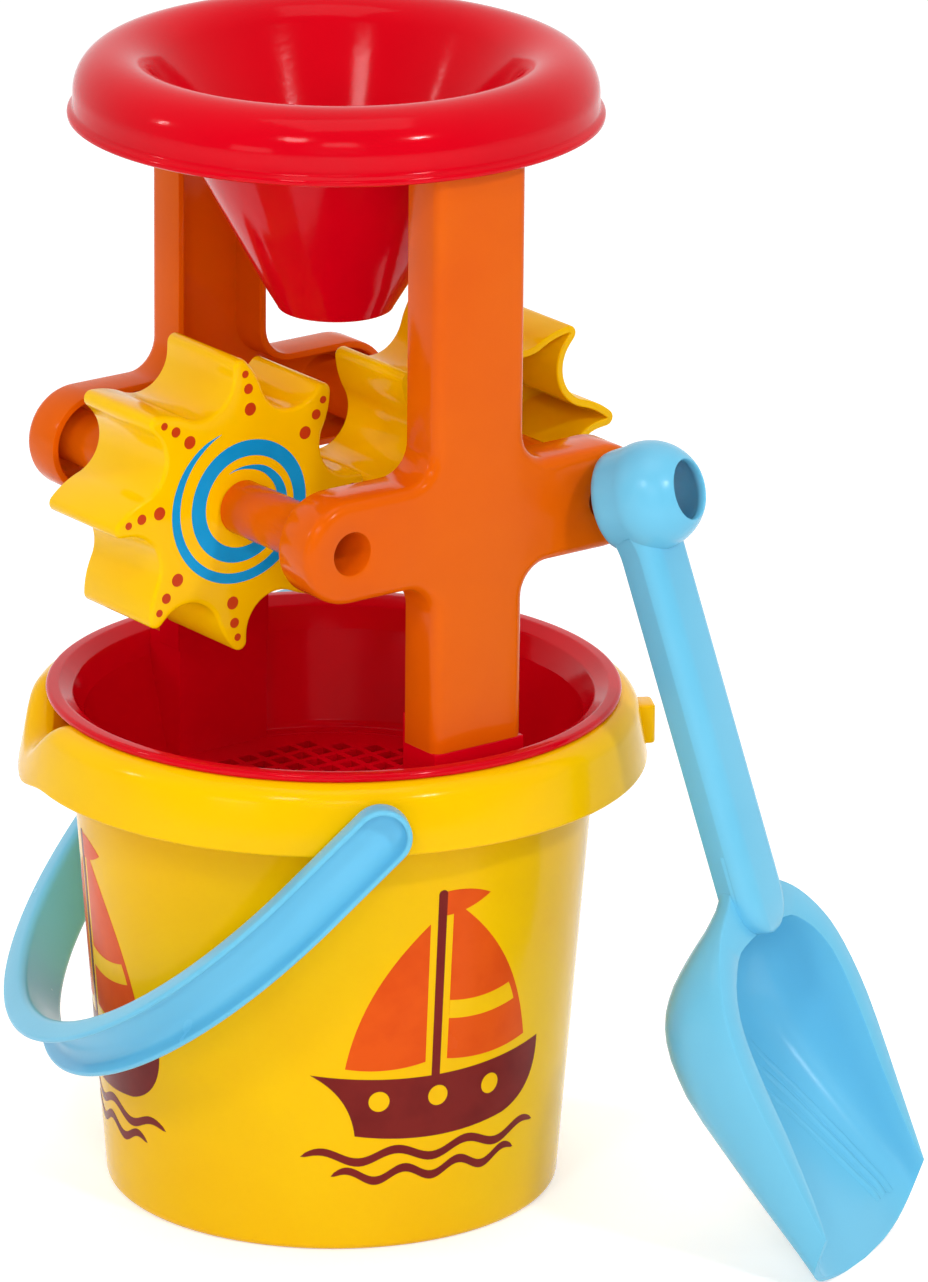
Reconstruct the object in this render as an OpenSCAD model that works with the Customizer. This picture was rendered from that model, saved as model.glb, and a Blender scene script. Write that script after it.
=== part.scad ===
// Sand mill play set: a bucket with a bail handle, a sieve tray that hangs in the bucket's mouth,
// a mill of two columns and two bucket wheels on the tray, a funnel on the columns, and a shovel
// that leans on the mill. All sizes are millimetres, +Z is up, the bucket's foot is at the origin.

/* [Bucket] */
// Outer radius of the bucket's foot
bucket_foot_r = 65.2; // [62:0.1:68]
// Outer radius of the bucket's wall at the height of the rim's top
bucket_mouth_r = 76.6; // [75.5:0.1:77.5]
// Height of the rim's flat top above the ground
rim_top_z = 147; // [135:0.5:155]
// Height of the rim's skirt
skirt_h = 19.5; // [17:0.5:24]
// Outer radius of the skirt at its lower edge
skirt_r = 90; // [88.5:0.1:92]
// Draft angle of the skirt
skirt_draft = 10; // [6:0.5:12]
// Radius of the rim's rounded outer shoulder
rim_round_r = 6.8; // [6:0.1:8]
// Wall thickness of the bucket
bucket_wall = 2; // [1.6:0.1:2.4]
// Thickness of the bucket's floor
bucket_floor = 2.5; // [2:0.1:4]
// Height of the sloped seat inside the rim
seat_h = 6; // [4:0.5:8]
// Width of the sloped seat inside the rim
seat_w = 4.4; // [3.5:0.1:4.6]
// Direction of the pouring spout
spout_angle = 152; // [130:1:175]
// Radius of the spout's valley
spout_r = 26; // [20:1:30]
// Depth of the spout's valley below the rim's top
spout_depth = 11; // [6:0.5:12]
// Width of the lug opposite the spout
lug_w = 9; // [5:0.5:14]
// How far the lug stands out from the skirt's lower edge
lug_out = 2.8; // [2:0.1:5]
// Height of the lug
lug_h = 11.5; // [8:0.5:15]

/* [Bail handle] */
// Height of the handle's pivots
pivot_z = 136; // [134:0.5:138]
// Radius of the pivot pegs
peg_r = 3.5; // [3:0.1:4]
// Radius of the snap heads on the pegs
peg_head_r = 4.5; // [4.2:0.1:5]
// Thickness of the snap heads
peg_head_t = 2; // [1.5:0.1:3]
// Width of the handle's channel
handle_w = 17; // [15:0.5:17]
// Depth of the handle's channel
handle_d = 8.2; // [7:0.1:10]
// Thickness of the channel's flanges
handle_flange = 2.6; // [2:0.1:3.5]
// Rounding of the channel's inner edges
handle_round_r = 2; // [1:0.1:2.5]
// Length of the handle's straight legs
handle_leg = 27; // [20:1:40]
// How far the handle hangs below the level
handle_droop = 45; // [35:1:47]

/* [Sieve tray] */
// Outer radius of the tray's lip
lip_r = 82.3; // [81.5:0.1:83]
// Thickness of the tray's lip
lip_t = 2.4; // [2:0.1:3]
// Width of the lip's flat top
lip_flat = 3.7; // [3:0.1:4.5]
// Drop of the flared band inside the lip
flare_h = 2.4; // [1.5:0.1:3.5]
// Width of the flared band inside the lip
flare_w = 4; // [3:0.1:4.5]
// Wall thickness of the tray
tray_wall = 2.2; // [1.8:0.1:2.6]
// Height of the tray's underside above the ground
tray_floor_z = 110; // [100:1:118]
// Outer radius of the tray's floor
tray_floor_r = 65; // [63:0.5:67]
// Radius of the sieve plate
sieve_r = 57; // [50:0.5:59]
// Thickness of the sieve plate
sieve_t = 2; // [1.6:0.1:3]
// Width of the ledge that carries the sieve plate
sieve_ledge = 3; // [2:0.5:5]
// Thickness of the ledge that carries the sieve plate
ledge_t = 1.6; // [1.2:0.1:2.5]
// Spacing of the sieve's holes
sieve_pitch = 7; // [6.5:0.1:10]
// Width of the sieve's square holes
sieve_hole = 4.8; // [3:0.1:5]
// Height of the posts that the columns plug over
post_h = 9; // [6:0.5:14]

/* [Columns] */
// Half the distance between the columns' outer faces
col_out = 69.5; // [68:0.1:69.6]
// Depth of a column
col_depth = 14.5; // [12:0.1:16]
// Width of a column
col_w = 31; // [28:0.5:31]
// Height of the columns' tops above the ground
col_top_z = 326.8; // [310:0.1:340]
// Wall thickness of a column
col_wall = 2.2; // [1.8:0.1:2.6]
// Height of the cross arms
arm_h = 30; // [26:0.5:32]
// Radius of the fillets between arms and column
arm_fillet = 9; // [5:0.5:12]
// Distance of each axle from the middle of the mill
axle_x = 44.2; // [43.8:0.1:46]
// Height of the axles above the ground
axle_z = 214; // [205:0.5:220]
// Radius of the hollow axle tubes
tube_r = 7.8; // [7.4:0.1:8.4]
// Radius of the tubes' open core
tube_core_r = 6.1; // [5:0.1:6.4]
// Radius of the journals that the wheels turn on
journal_r = 5.4; // [4.5:0.1:5.8]
// Radius of the journals' open core
journal_core_r = 3.4; // [2:0.1:3.6]
// Thickness of the shoulder between tube and journal
shoulder_t = 2.4; // [2:0.1:4]
// Length of journal that plugs into the rear tube
journal_grip = 16; // [8:1:24]

/* [Wheels] */
// Number of blades on a wheel
blade_count = 8; // [8]
// Radius of the blade tips
wheel_tip_r = 42.5; // [41:0.1:42.8]
// Width of a wheel
wheel_w = 33; // [28:0.5:36]
// Thickness of a wheel's closed face
wheel_face = 2.2; // [1.6:0.1:3]
// Wall thickness of a wheel's rim
wheel_wall = 2.2; // [1.6:0.1:2.6]
// Radius of a wheel's hub
hub_r = 8.4; // [7.6:0.1:10]
// Radius of the round bottom of the notch between two blades
notch_r = 10.9; // [10.2:0.1:11.2]
// Distance of the notch's centre from the axle, along the blade
notch_along = 38; // [37.4:0.1:39]
// Distance of the notch's centre from the axle, across the blade
notch_across = 14.3; // [14:0.1:14.8]
// Radius of the blades' round backs
flank_r = 25; // [20:0.5:32]
// Direction from a notch's centre to the middle of the next blade's round back
flank_angle = 156; // [155:0.5:158]
// Turn of the left wheel
left_turn = 43.4; // [0:0.1:45]
// Turn of the right wheel
right_turn = 39.5; // [0:0.5:45]

/* [Funnel] */
// Radius of the rim's rounded top, across its section
funnel_round_r = 12; // [11:0.1:13]
// Height of the middle of the rounded top
funnel_round_z = 324; // [310:0.5:340]
// Outer radius of the funnel's rim
funnel_r = 74; // [73.5:0.1:76]
// Length of the straight band under the rounded top
funnel_band = 4.4; // [3:0.1:6]
// Height of the flared lip under the band
funnel_lip_h = 2.6; // [1.5:0.1:4]
// How far the flared lip stands out
funnel_lip_out = 1.6; // [0.8:0.1:2.5]
// Wall thickness of the funnel
funnel_wall = 2.2; // [1.8:0.1:2.6]
// Angle of the cone from the vertical
cone_angle = 28.4; // [26:0.2:32]
// Height of the cone's lower end above the ground
cone_low_z = 262; // [258:0.5:275]
// Width of the seats that rest on the columns
funnel_seat_w = 20; // [10:1:26]
// Depth of the seats that rest on the columns
funnel_seat_d = 8; // [4:0.5:9]

/* [Shovel] */
// Radius of the ball on the handle's end
ball_r = 15.6; // [14:0.1:17]
// Radius of the hanging hole
hang_hole_r = 8.4; // [6:0.1:9.5]
// Length from the ball's middle to the tongue in the scoop
grip_len = 130; // [110:1:140]
// Width of the shovel's handle
grip_w = 20.6; // [18:0.2:24]
// Thickness of the shovel's handle
grip_t = 12.6; // [11:0.2:15]
// Rounding of the handle's edges
grip_round_r = 4; // [2:0.1:5]
// Wall thickness of the hollow handle
grip_wall = 2.4; // [2:0.1:3]
// How far the handle lies behind the ball's middle
grip_back = 3.8; // [2:0.1:5]
// Length of the scoop
scoop_len = 107.5; // [95:0.5:120]
// Greatest width of the scoop
scoop_w = 78.2; // [70:0.2:86]
// Greatest depth of the scoop
scoop_depth = 28; // [22:0.5:32]
// Depth of the scoop's floor below the rim's plane at the tip
tip_depth = 10.4; // [8:0.2:14]
// Wall thickness of the scoop
scoop_wall = 2.4; // [2:0.1:3]
// Rounding along the scoop's lower edges
scoop_round_r = 8; // [6:0.5:10]
// Length of the handle's tongue inside the scoop
tongue = 9; // [5:0.5:12]
// Angle between the scoop's rim and the handle
scoop_tilt = 7.5; // [5:0.1:10]
// Slope of the scoop's front edge from rim to floor
front_slope = 45; // [35:0.5:55]
// Radius of the scoop's rounded front edge
tip_round_r = 150; // [120:1:180]
// Width of the ribs on the scoop's floor
rib_w = 1.4; // [1:0.1:2.5]
// Height of the ribs on the scoop's floor
rib_h = 1; // [0.6:0.1:1.8]
// Length of the ribs on the scoop's floor
rib_len = 52; // [30:1:56]
// Spacing of the ribs on the scoop's floor
rib_pitch = 8; // [5:0.5:12]
// Lean of the shovel from the vertical
shovel_lean = 17.5; // [13:0.1:19]
// Sideways tilt of the shovel
shovel_roll = 1.7; // [0:0.1:4]
// Heading of the shovel, turned from the mill's front
shovel_heading = 25.4; // [20:0.1:32]
// How far the ball lies outwards from the right axle
ball_out = 2.8; // [0:0.1:6]

/* [Hidden] */
$fn = 72;

// Facets of the rounds inside turned sections, and of rounds that are blended
round_fn = 24;
blend_fn = 32;

// How far each cut reaches past the face that it opens
overrun = 1;
// Thickness of the slices that blended shapes are drawn through
slice = 0.02;

// Play between the tray and the bucket's sloped seat
tray_gap = 0.5;
// Play of the sieve plate in its recess
sieve_gap = 0.3;
// Play between a column and its post
post_gap = 0.3;
// Radial play of the pegs in the bucket's skirt
peg_gap = 0.08;
// Play between the handle's legs and the skirt
handle_gap = 0.8;
// Play between a snap head and the skirt
peg_head_gap = 1.2;
// Radial play of a wheel on its journal
journal_gap = 0.08;
// Radial play of a journal in the rear tube
grip_gap = 0.04;
// Play at each side of a wheel
wheel_gap = 0.4;
// Play between the shovel's ball and the arm that it leans on
ball_gap = 0.5;
// Height of the shovel's lowest point above the ground
ground_gap = 0.1;

// Bucket: the wall's radius at a height, the seat, and the rim's rounded shoulder
function bucket_r(z) = bucket_foot_r + (bucket_mouth_r - bucket_foot_r) * z / rim_top_z;
function bucket_inner_r(z) = bucket_r(z) - bucket_wall;
seat_z = rim_top_z - seat_h;
seat_low_r = bucket_inner_r(seat_z);
seat_r = bucket_inner_r(rim_top_z) + seat_w;
skirt_low_z = rim_top_z - skirt_h;
rim_z = rim_top_z - rim_round_r;
rim_lever = rim_round_r + sin(skirt_draft) * (rim_z - skirt_low_z);
rim_r = skirt_r - rim_lever / cos(skirt_draft);
seat_wall = bucket_wall * norm([seat_w, seat_h]) / seat_h;
function skirt_outer_r(z) = skirt_r - tan(skirt_draft) * (z - skirt_low_z);
function skirt_inner_r(z) = skirt_outer_r(z) - bucket_wall / cos(skirt_draft);

// Handle: its inner face, its pegs and the line of its pivots
handle_in = skirt_r + handle_gap;
handle_out = handle_in + handle_d;
groove_r = handle_w / 2 - handle_flange;
peg_in = skirt_inner_r(pivot_z) - peg_head_gap;
pivot_angle = spout_angle - 90;

// Tray: its levels, neck and sieve recess
tray_top_z = rim_top_z + lip_t;
neck_r = seat_low_r - tray_gap;
under_lip_r = seat_r - tray_gap;
lip_in_r = lip_r - lip_flat;
flare_r = lip_in_r - flare_w;
flare_z = tray_top_z - flare_h;
tray_floor_t = ledge_t + sieve_t;
sieve_z = tray_floor_z + ledge_t;

// Columns: their inner face, half sizes and feet
col_in = col_out - col_depth;
col_half = col_w / 2;
arm_half = arm_h / 2;
foot_z = tray_top_z;
tube_len = col_out - wheel_w / 2 - wheel_gap;
journal_len = wheel_w + wheel_gap * 2 + journal_grip;

// Wheels: spacing of the blades, and the middles of a notch and of the round back that runs on from it
blade_step = 360 / blade_count;
notch_mid = [notch_along, notch_across];
flank_mid = notch_mid + (notch_r + flank_r) * [cos(flank_angle), sin(flank_angle)];

// Funnel: the middle of the rounded top, and the cone's upper and lower lines
funnel_mid_r = funnel_r - funnel_round_r;
function cone_start(r) = [funnel_mid_r - r * cos(cone_angle), funnel_round_z + r * sin(cone_angle)];
function cone_end(r, z) =
    let (start = cone_start(r))
    [start[0] - tan(cone_angle) * (start[1] - z), z];
funnel_lip_z = funnel_round_z - funnel_band;
funnel_low_z = funnel_lip_z - funnel_lip_h;

// Shovel: stations along the scoop, each with shares of its length, half width and depth
station_shares = [0, 0.05, 0.1, 0.21, 0.33, 0.6, 1];
width_shares = [0.5, 0.675, 0.795, 0.94, 1, 0.94, 0.85];
depth_shares = [0.33, 0.55, 0.74, 0.95, 1];
floor_width_share = 0.92;
deep_station = 4;
deep_share = station_shares[deep_station];
scoop_half = scoop_w / 2;
grip_half = grip_w / 2;
scoop_start = grip_len - tongue;
tip_reach = scoop_len + overrun;
floor_run = scoop_len * (1 - deep_share);
floor_angle = atan((scoop_depth - tip_depth) / floor_run);
function floor_depth(share) =
    share >= deep_share ? scoop_depth - (share - deep_share) * scoop_len * tan(floor_angle)
    : lookup(share, [for (i = [0:deep_station]) [station_shares[i], depth_shares[i] * scoop_depth]]);
tip_y = grip_back + tip_depth * cos(scoop_tilt) - scoop_len * sin(scoop_tilt);
tip_z = scoop_start + tip_depth * sin(scoop_tilt) + scoop_len * cos(scoop_tilt);
tip_rise = tip_round_r * (1 / cos(shovel_roll) - 1);
ball_x = axle_x + ball_out;
ball_y = -(col_out + ball_r + ball_gap);
ball_z = cos(shovel_lean) * (tip_z * cos(shovel_roll) + tip_rise) + tip_y * sin(shovel_lean) + ground_gap;

// Colours of the mouldings
yellow = [0.99, 0.80, 0];
red = [0.88, 0, 0.1];
orange = [0.93, 0.43, 0.04];
light_blue = [0.51, 0.8, 0.94];

// Half section of the bucket's rim, drawn in by an inset, its skirt let down by a drop
module rim_section(inset, drop) {
    round_r = rim_round_r - inset;
    low_z = skirt_low_z - drop;
    translate([rim_r, rim_z])
        circle(r = round_r, $fn = round_fn);
    polygon([
        [seat_low_r, low_z],
        [skirt_outer_r(low_z) - inset / cos(skirt_draft), low_z],
        [rim_r + round_r * cos(skirt_draft), rim_z + round_r * sin(skirt_draft)],
        [rim_r, rim_z],
        [rim_r, rim_top_z - inset],
        [seat_low_r, rim_top_z - inset]
    ]);
}

// Half section of the bucket's body as a full solid
module bucket_body_section() {
    polygon([[0, 0], [bucket_foot_r, 0], [bucket_mouth_r, rim_top_z], [0, rim_top_z]]);
}

// Half section of the space inside the bucket, with the sloped seat at its mouth
module bucket_space_section() {
    polygon([
        [0, bucket_floor],
        [bucket_inner_r(bucket_floor), bucket_floor],
        [seat_low_r, seat_z],
        [seat_r, rim_top_z],
        [seat_r, rim_top_z + overrun],
        [0, rim_top_z + overrun]
    ]);
}

// Half section of the hollow between the bucket's wall and its skirt
module skirt_hollow_section() {
    difference() {
        rim_section(bucket_wall, overrun);
        bucket_body_section();
        polygon([
            [seat_low_r, seat_z],
            [seat_r, rim_top_z],
            [seat_r + seat_wall, rim_top_z],
            [seat_low_r + seat_wall, seat_z]
        ]);
    }
}

// Valley of the pouring spout, grown by a wall
module spout_valley(grow) {
    rotate([0, 0, spout_angle])
        translate([tray_floor_r, 0, rim_top_z + spout_r - spout_depth])
            rotate([0, 90, 0])
                cylinder(r = spout_r + grow, h = skirt_r - tray_floor_r + overrun);
}

// Lug on the skirt, opposite the spout
module bucket_lug() {
    rotate([0, 0, spout_angle + 180])
        translate([rim_r, -lug_w / 2, skirt_low_z])
            cube([skirt_r + lug_out - rim_r, lug_w, lug_h]);
}

module bucket() {
    color(yellow)
        difference() {
            union() {
                rotate_extrude()
                    difference() {
                        union() {
                            bucket_body_section();
                            rim_section(0, 0);
                        }
                        bucket_space_section();
                    }
                bucket_lug();
            }
            difference() {
                rotate_extrude()
                    skirt_hollow_section();
                spout_valley(bucket_wall);
            }
            spout_valley(0);
            for (side = [0, 180])
                rotate([0, 0, pivot_angle + side])
                    translate([rim_r, 0, pivot_z])
                        rotate([0, 90, 0])
                            cylinder(r = peg_r + peg_gap, h = skirt_r - rim_r + overrun);
        }
}

// Section of the handle's channel, from its inner face outwards, with a round groove
module channel_section() {
    difference() {
        union() {
            translate([handle_round_r, -handle_w / 2])
                square([handle_d - handle_round_r, handle_w]);
            translate([0, handle_round_r - handle_w / 2])
                square([handle_d, handle_w - handle_round_r * 2]);
            for (side = [-1, 1])
                translate([handle_round_r, side * (handle_w / 2 - handle_round_r)])
                    circle(r = handle_round_r, $fn = round_fn);
        }
        translate([handle_d, 0])
            circle(r = groove_r, $fn = round_fn);
    }
}

// Round end of the handle about its pivot, with the peg that snaps into the skirt
module handle_end() {
    rotate([0, 90, 0])
        rotate_extrude()
            intersection() {
                rotate(90)
                    channel_section();
                square([handle_w, handle_d]);
            }
    translate([peg_in - handle_in, 0, 0])
        rotate([0, 90, 0])
            cylinder(r = peg_r, h = handle_in - peg_in + handle_round_r);
    translate([peg_in - handle_in - peg_head_t, 0, 0])
        rotate([0, 90, 0])
            cylinder(r = peg_head_r, h = peg_head_t);
}

// Handle in its own plane: pivots on the X axis, the bail's middle towards +Y
module handle_flat() {
    translate([0, handle_leg, 0])
        rotate_extrude(angle = 180)
            translate([handle_in, 0])
                channel_section();
    for (side = [0, 1])
        mirror([side, 0, 0])
            translate([handle_in, 0, 0]) {
                translate([0, handle_leg, 0])
                    rotate([90, 0, 0])
                        linear_extrude(handle_leg)
                            channel_section();
                handle_end();
            }
}

module bucket_handle() {
    color(light_blue)
        translate([0, 0, pivot_z])
            rotate([-handle_droop, 0, pivot_angle])
                handle_flat();
}

// Half section of the tray as a full solid, up to the top of its lip
module tray_solid_section() {
    polygon([
        [0, tray_floor_z],
        [tray_floor_r, tray_floor_z],
        [neck_r, seat_z],
        [under_lip_r, rim_top_z],
        [lip_r - lip_t / 2, rim_top_z],
        [lip_r - lip_t / 2, tray_top_z],
        [0, tray_top_z]
    ]);
    translate([lip_r - lip_t / 2, rim_top_z + lip_t / 2])
        circle(r = lip_t / 2, $fn = round_fn);
}

// Half section of the tray's dish, above its floor
module tray_dish_section() {
    floor_top_z = tray_floor_z + tray_floor_t;
    polygon([
        [0, floor_top_z],
        [tray_floor_r - tray_wall, floor_top_z],
        [neck_r - tray_wall, seat_z],
        [flare_r, flare_z],
        [lip_in_r, tray_top_z],
        [lip_in_r, tray_top_z + overrun],
        [0, tray_top_z + overrun]
    ]);
}

// Block under one column's foot, with the post that the column plugs over
module column_socket() {
    post_half = col_half - col_wall - post_gap;
    post_depth = col_depth - col_wall - post_gap * 2;
    intersection() {
        translate([-col_half, -col_out, tray_floor_z])
            cube([col_w, col_depth, foot_z - tray_floor_z]);
        rotate_extrude()
            tray_solid_section();
    }
    translate([-post_half, -col_in - post_gap - post_depth, foot_z - ledge_t])
        cube([post_half * 2, post_depth, post_h + ledge_t]);
}

module sieve_tray() {
    color(red) {
        difference() {
            rotate_extrude()
                tray_solid_section();
            rotate_extrude()
                tray_dish_section();
            translate([0, 0, sieve_z])
                cylinder(r = sieve_r + sieve_gap, h = sieve_t + overrun);
            translate([0, 0, tray_floor_z - overrun])
                cylinder(r = sieve_r - sieve_ledge, h = ledge_t + overrun * 2);
        }
        difference() {
            for (side = [0, 180])
                rotate([0, 0, side])
                    column_socket();
            translate([0, 0, tray_floor_z - overrun])
                cylinder(r = sieve_r + sieve_gap, h = tray_floor_t + overrun);
        }
    }
}

// Plate with square holes on a square grid, kept inside its solid border
module sieve_plate() {
    reach = sieve_r - sieve_ledge - sieve_gap;
    count = floor(reach / sieve_pitch);
    color(red)
        translate([0, 0, sieve_z])
            linear_extrude(sieve_t)
                difference() {
                    circle(r = sieve_r);
                    for (i = [-count:count], j = [-count:count])
                        if (norm([i, j]) * sieve_pitch + sieve_hole < reach)
                            translate([i * sieve_pitch - sieve_hole / 2, j * sieve_pitch - sieve_hole / 2])
                                square(sieve_hole);
                }
}

// Outline of a column with its cross arms, drawn in by an inset, its foot let down by a drop
module column_outline(inset, drop) {
    half = col_half - inset;
    reach = arm_half - inset;
    fillet = arm_fillet + inset;
    translate([-half, foot_z - drop])
        square([half * 2, col_top_z - inset - foot_z + drop]);
    translate([-axle_x, axle_z - reach])
        square([axle_x * 2, reach * 2]);
    for (side = [-1, 1])
        translate([side * axle_x, axle_z])
            circle(r = reach);
    for (side = [0, 1], up = [0, 1])
        translate([0, axle_z])
            mirror([side, 0])
                mirror([0, up])
                    translate([half, reach])
                        difference() {
                            square(fillet);
                            translate([fillet, fillet])
                                circle(r = fillet);
                        }
}

// Shell of one column: closed outside, open towards the wheels and at its foot
module column_shell() {
    difference() {
        translate([0, -col_in, 0])
            rotate([90, 0, 0])
                linear_extrude(col_depth)
                    column_outline(0, 0);
        translate([0, overrun - col_in, 0])
            rotate([90, 0, 0])
                linear_extrude(col_depth - col_wall + overrun)
                    column_outline(col_wall, overrun);
    }
}

// Places a child at both axles of the front column, its axis pointing inwards
module at_axles() {
    for (side = [-1, 1])
        translate([side * axle_x, -col_out, axle_z])
            rotate([-90, 0, 0])
                children();
}

module front_column() {
    color(orange)
        difference() {
            union() {
                column_shell();
                at_axles() {
                    cylinder(r = tube_r, h = tube_len);
                    cylinder(r = journal_r, h = tube_len + journal_len);
                }
            }
            at_axles() {
                translate([0, 0, -overrun])
                    cylinder(r = tube_core_r, h = tube_len - shoulder_t + overrun);
                cylinder(r = journal_core_r, h = tube_len + journal_len + overrun);
            }
        }
}

module rear_column() {
    color(orange)
        rotate([0, 0, 180])
            difference() {
                union() {
                    column_shell();
                    at_axles()
                        cylinder(r = tube_r, h = tube_len);
                }
                at_axles()
                    translate([0, 0, -overrun])
                        cylinder(r = journal_r + grip_gap, h = tube_len + overrun * 2);
            }
}

// Notch between the blade on the X axis and the next one, grown by a wall: a round bottom that
// runs over into the next blade's round back
module blade_notch(grow) {
    reach = notch_r + grow;
    far = wheel_tip_r + overrun;
    translate(notch_mid)
        circle(r = reach);
    difference() {
        polygon([
            notch_mid,
            [notch_along, notch_across - reach],
            [far, notch_across - reach],
            [far, far],
            [flank_mid[0], far],
            flank_mid
        ]);
        translate(flank_mid)
            circle(r = flank_r - grow);
    }
}

// Outline of a wheel with its hooked blades, drawn in by an inset
module wheel_outline(inset) {
    difference() {
        circle(r = wheel_tip_r - inset);
        for (blade = [0:blade_count - 1])
            rotate(blade * blade_step)
                blade_notch(inset);
    }
}

// Wheel about the Y axis: closed face towards -Y, open behind, with its hub inside
module wheel(turn) {
    translate([0, wheel_w / 2, 0])
        rotate([90, 0, 0])
            rotate([0, 0, turn])
                difference() {
                    linear_extrude(wheel_w)
                        wheel_outline(0);
                    difference() {
                        translate([0, 0, -overrun])
                            linear_extrude(wheel_w - wheel_face + overrun)
                                wheel_outline(wheel_wall);
                        cylinder(r = hub_r, h = wheel_w);
                    }
                    translate([0, 0, -overrun])
                        cylinder(r = journal_r + journal_gap, h = wheel_w + overrun * 2);
                }
}

module left_wheel() {
    color(yellow)
        translate([-axle_x, 0, axle_z])
            wheel(left_turn);
}

module right_wheel() {
    color(yellow)
        translate([axle_x, 0, axle_z])
            rotate([0, 0, 180])
                wheel(right_turn);
}

// Half section of the space under the funnel's rim and cone, bounded by a tangent arch
module funnel_side_section(round_r, low_z) {
    translate([funnel_mid_r, funnel_round_z])
        circle(r = round_r, $fn = round_fn * 2);
    polygon([
        cone_start(round_r),
        cone_end(round_r, low_z),
        [funnel_mid_r + round_r, low_z],
        [funnel_mid_r + round_r, funnel_round_z],
        [funnel_mid_r, funnel_round_z]
    ]);
}

// Half section of the funnel: arch, band with its flared lip, and cone
module funnel_section() {
    inner_r = funnel_round_r - funnel_wall;
    band_r = funnel_r - funnel_wall;
    difference() {
        funnel_side_section(funnel_round_r, cone_low_z);
        funnel_side_section(inner_r, cone_low_z - overrun);
        translate([funnel_mid_r, cone_low_z - overrun])
            square([funnel_round_r + overrun, funnel_low_z - cone_low_z + overrun]);
    }
    polygon([
        [band_r + funnel_wall / 2, funnel_lip_z],
        [funnel_r, funnel_lip_z],
        [funnel_r + funnel_lip_out, funnel_low_z + funnel_lip_h / 2],
        [funnel_r + funnel_lip_out, funnel_low_z],
        [band_r + funnel_wall / 2, funnel_low_z]
    ]);
}

// Seats under the rounded top that rest on the columns
module funnel_seats() {
    intersection() {
        for (side = [0, 180])
            rotate([0, 0, side])
                translate([-funnel_seat_w / 2, (col_depth - funnel_seat_d) / 2 - col_out, col_top_z])
                    cube([funnel_seat_w, funnel_seat_d, funnel_round_r]);
        rotate_extrude()
            translate([funnel_mid_r, funnel_round_z])
                circle(r = funnel_round_r - funnel_wall / 2, $fn = round_fn * 2);
    }
}

module funnel() {
    color(red) {
        rotate_extrude()
            funnel_section();
        funnel_seats();
    }
}

// Cross-section of the shovel's handle
module grip_section(inset) {
    half = [grip_half - inset, grip_t / 2 - inset];
    round_r = max(grip_round_r - inset, slice);
    translate([-half[0] + round_r, -half[1]])
        square([half[0] * 2 - round_r * 2, half[1] * 2]);
    translate([-half[0], -half[1] + round_r])
        square([half[0] * 2, half[1] * 2 - round_r * 2]);
    for (across = [-1, 1], back = [-1, 1])
        translate([across * (half[0] - round_r), back * (half[1] - round_r)])
            circle(r = round_r, $fn = round_fn);
}

// Handle of the shovel, hanging from the ball's middle, its tongue rounded, cored from behind
module grip() {
    core_top = ball_r + grip_wall;
    core_len = scoop_start - core_top - grip_wall * 2;
    translate([0, grip_back, 0])
        difference() {
            intersection() {
                translate([0, 0, -grip_len])
                    linear_extrude(grip_len)
                        grip_section(0);
                rotate([90, 0, 0])
                    linear_extrude(grip_t + overrun, center = true) {
                        translate([-grip_half, grip_half - grip_len])
                            square([grip_w, grip_len - grip_half]);
                        translate([0, grip_half - grip_len])
                            circle(r = grip_half);
                    }
            }
            translate([grip_wall - grip_half, grip_wall - grip_t / 2, -core_top - core_len])
                cube([grip_w - grip_wall * 2, grip_t, core_len]);
        }
}

// One slice of the scoop: square at the rim, rounded at its lower edges
module scoop_slice(share, wall, lift) {
    i_half = lookup(share, [for (i = [0:len(station_shares) - 1]) [station_shares[i], width_shares[i]]]);
    half = i_half * scoop_half - wall;
    depth = floor_depth(share) - wall;
    round_r = min(scoop_round_r - wall, depth / 2);
    floor_half = half * floor_width_share - round_r;
    for (side = [-1, 1]) {
        translate([side * half - (side + 1) / 2 * slice, -lift, 0])
            cube([slice, slice + lift, slice]);
        translate([side * floor_half, depth - round_r, 0])
            cylinder(r = round_r, h = slice, $fn = blend_fn);
    }
}

// Solid through the scoop's slices, from a first station on, drawn in by a wall and opened at the front
module scoop_form(first, wall, lift, reach) {
    last = len(station_shares) - 1;
    hull() {
        for (i = [first:last])
            translate([0, 0, -station_shares[i] * scoop_len])
                scoop_slice(station_shares[i], wall, lift);
        translate([0, -reach * tan(floor_angle), -scoop_len - reach])
            scoop_slice(station_shares[last], wall, lift);
    }
}

// Ribs along the middle of the scoop's floor
module scoop_ribs() {
    root = tip_depth - scoop_wall;
    for (i = [-1:1])
        translate([i * rib_pitch - rib_w / 2, root, -scoop_len])
            rotate([-floor_angle, 0, 0])
                translate([0, -rib_h, rib_pitch])
                    cube([rib_w, rib_h + scoop_wall / 2, rib_len]);
}

module scoop() {
    translate([0, grip_back, -scoop_start])
        rotate([-scoop_tilt, 0, 0])
            intersection() {
                union() {
                    difference() {
                        scoop_form(0, 0, 0, overrun);
                        scoop_form(1, scoop_wall, overrun, scoop_depth);
                    }
                    scoop_ribs();
                }
                translate([0, tip_depth, -scoop_len])
                    rotate([front_slope, 0, 0])
                        translate([0, tip_round_r, 0])
                            cylinder(r = tip_round_r, h = scoop_len * 4, center = true, $fn = blend_fn * 8);
            }
}

module shovel() {
    color(light_blue)
        translate([ball_x, ball_y, ball_z])
            rotate([-shovel_lean, 0, shovel_heading])
                rotate([0, -shovel_roll, 0])
                    difference() {
                        union() {
                            sphere(r = ball_r);
                            grip();
                            scoop();
                        }
                        rotate([90, 0, 0])
                            cylinder(r = hang_hole_r, h = ball_r * 2 + overrun, center = true);
                    }
}

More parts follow.
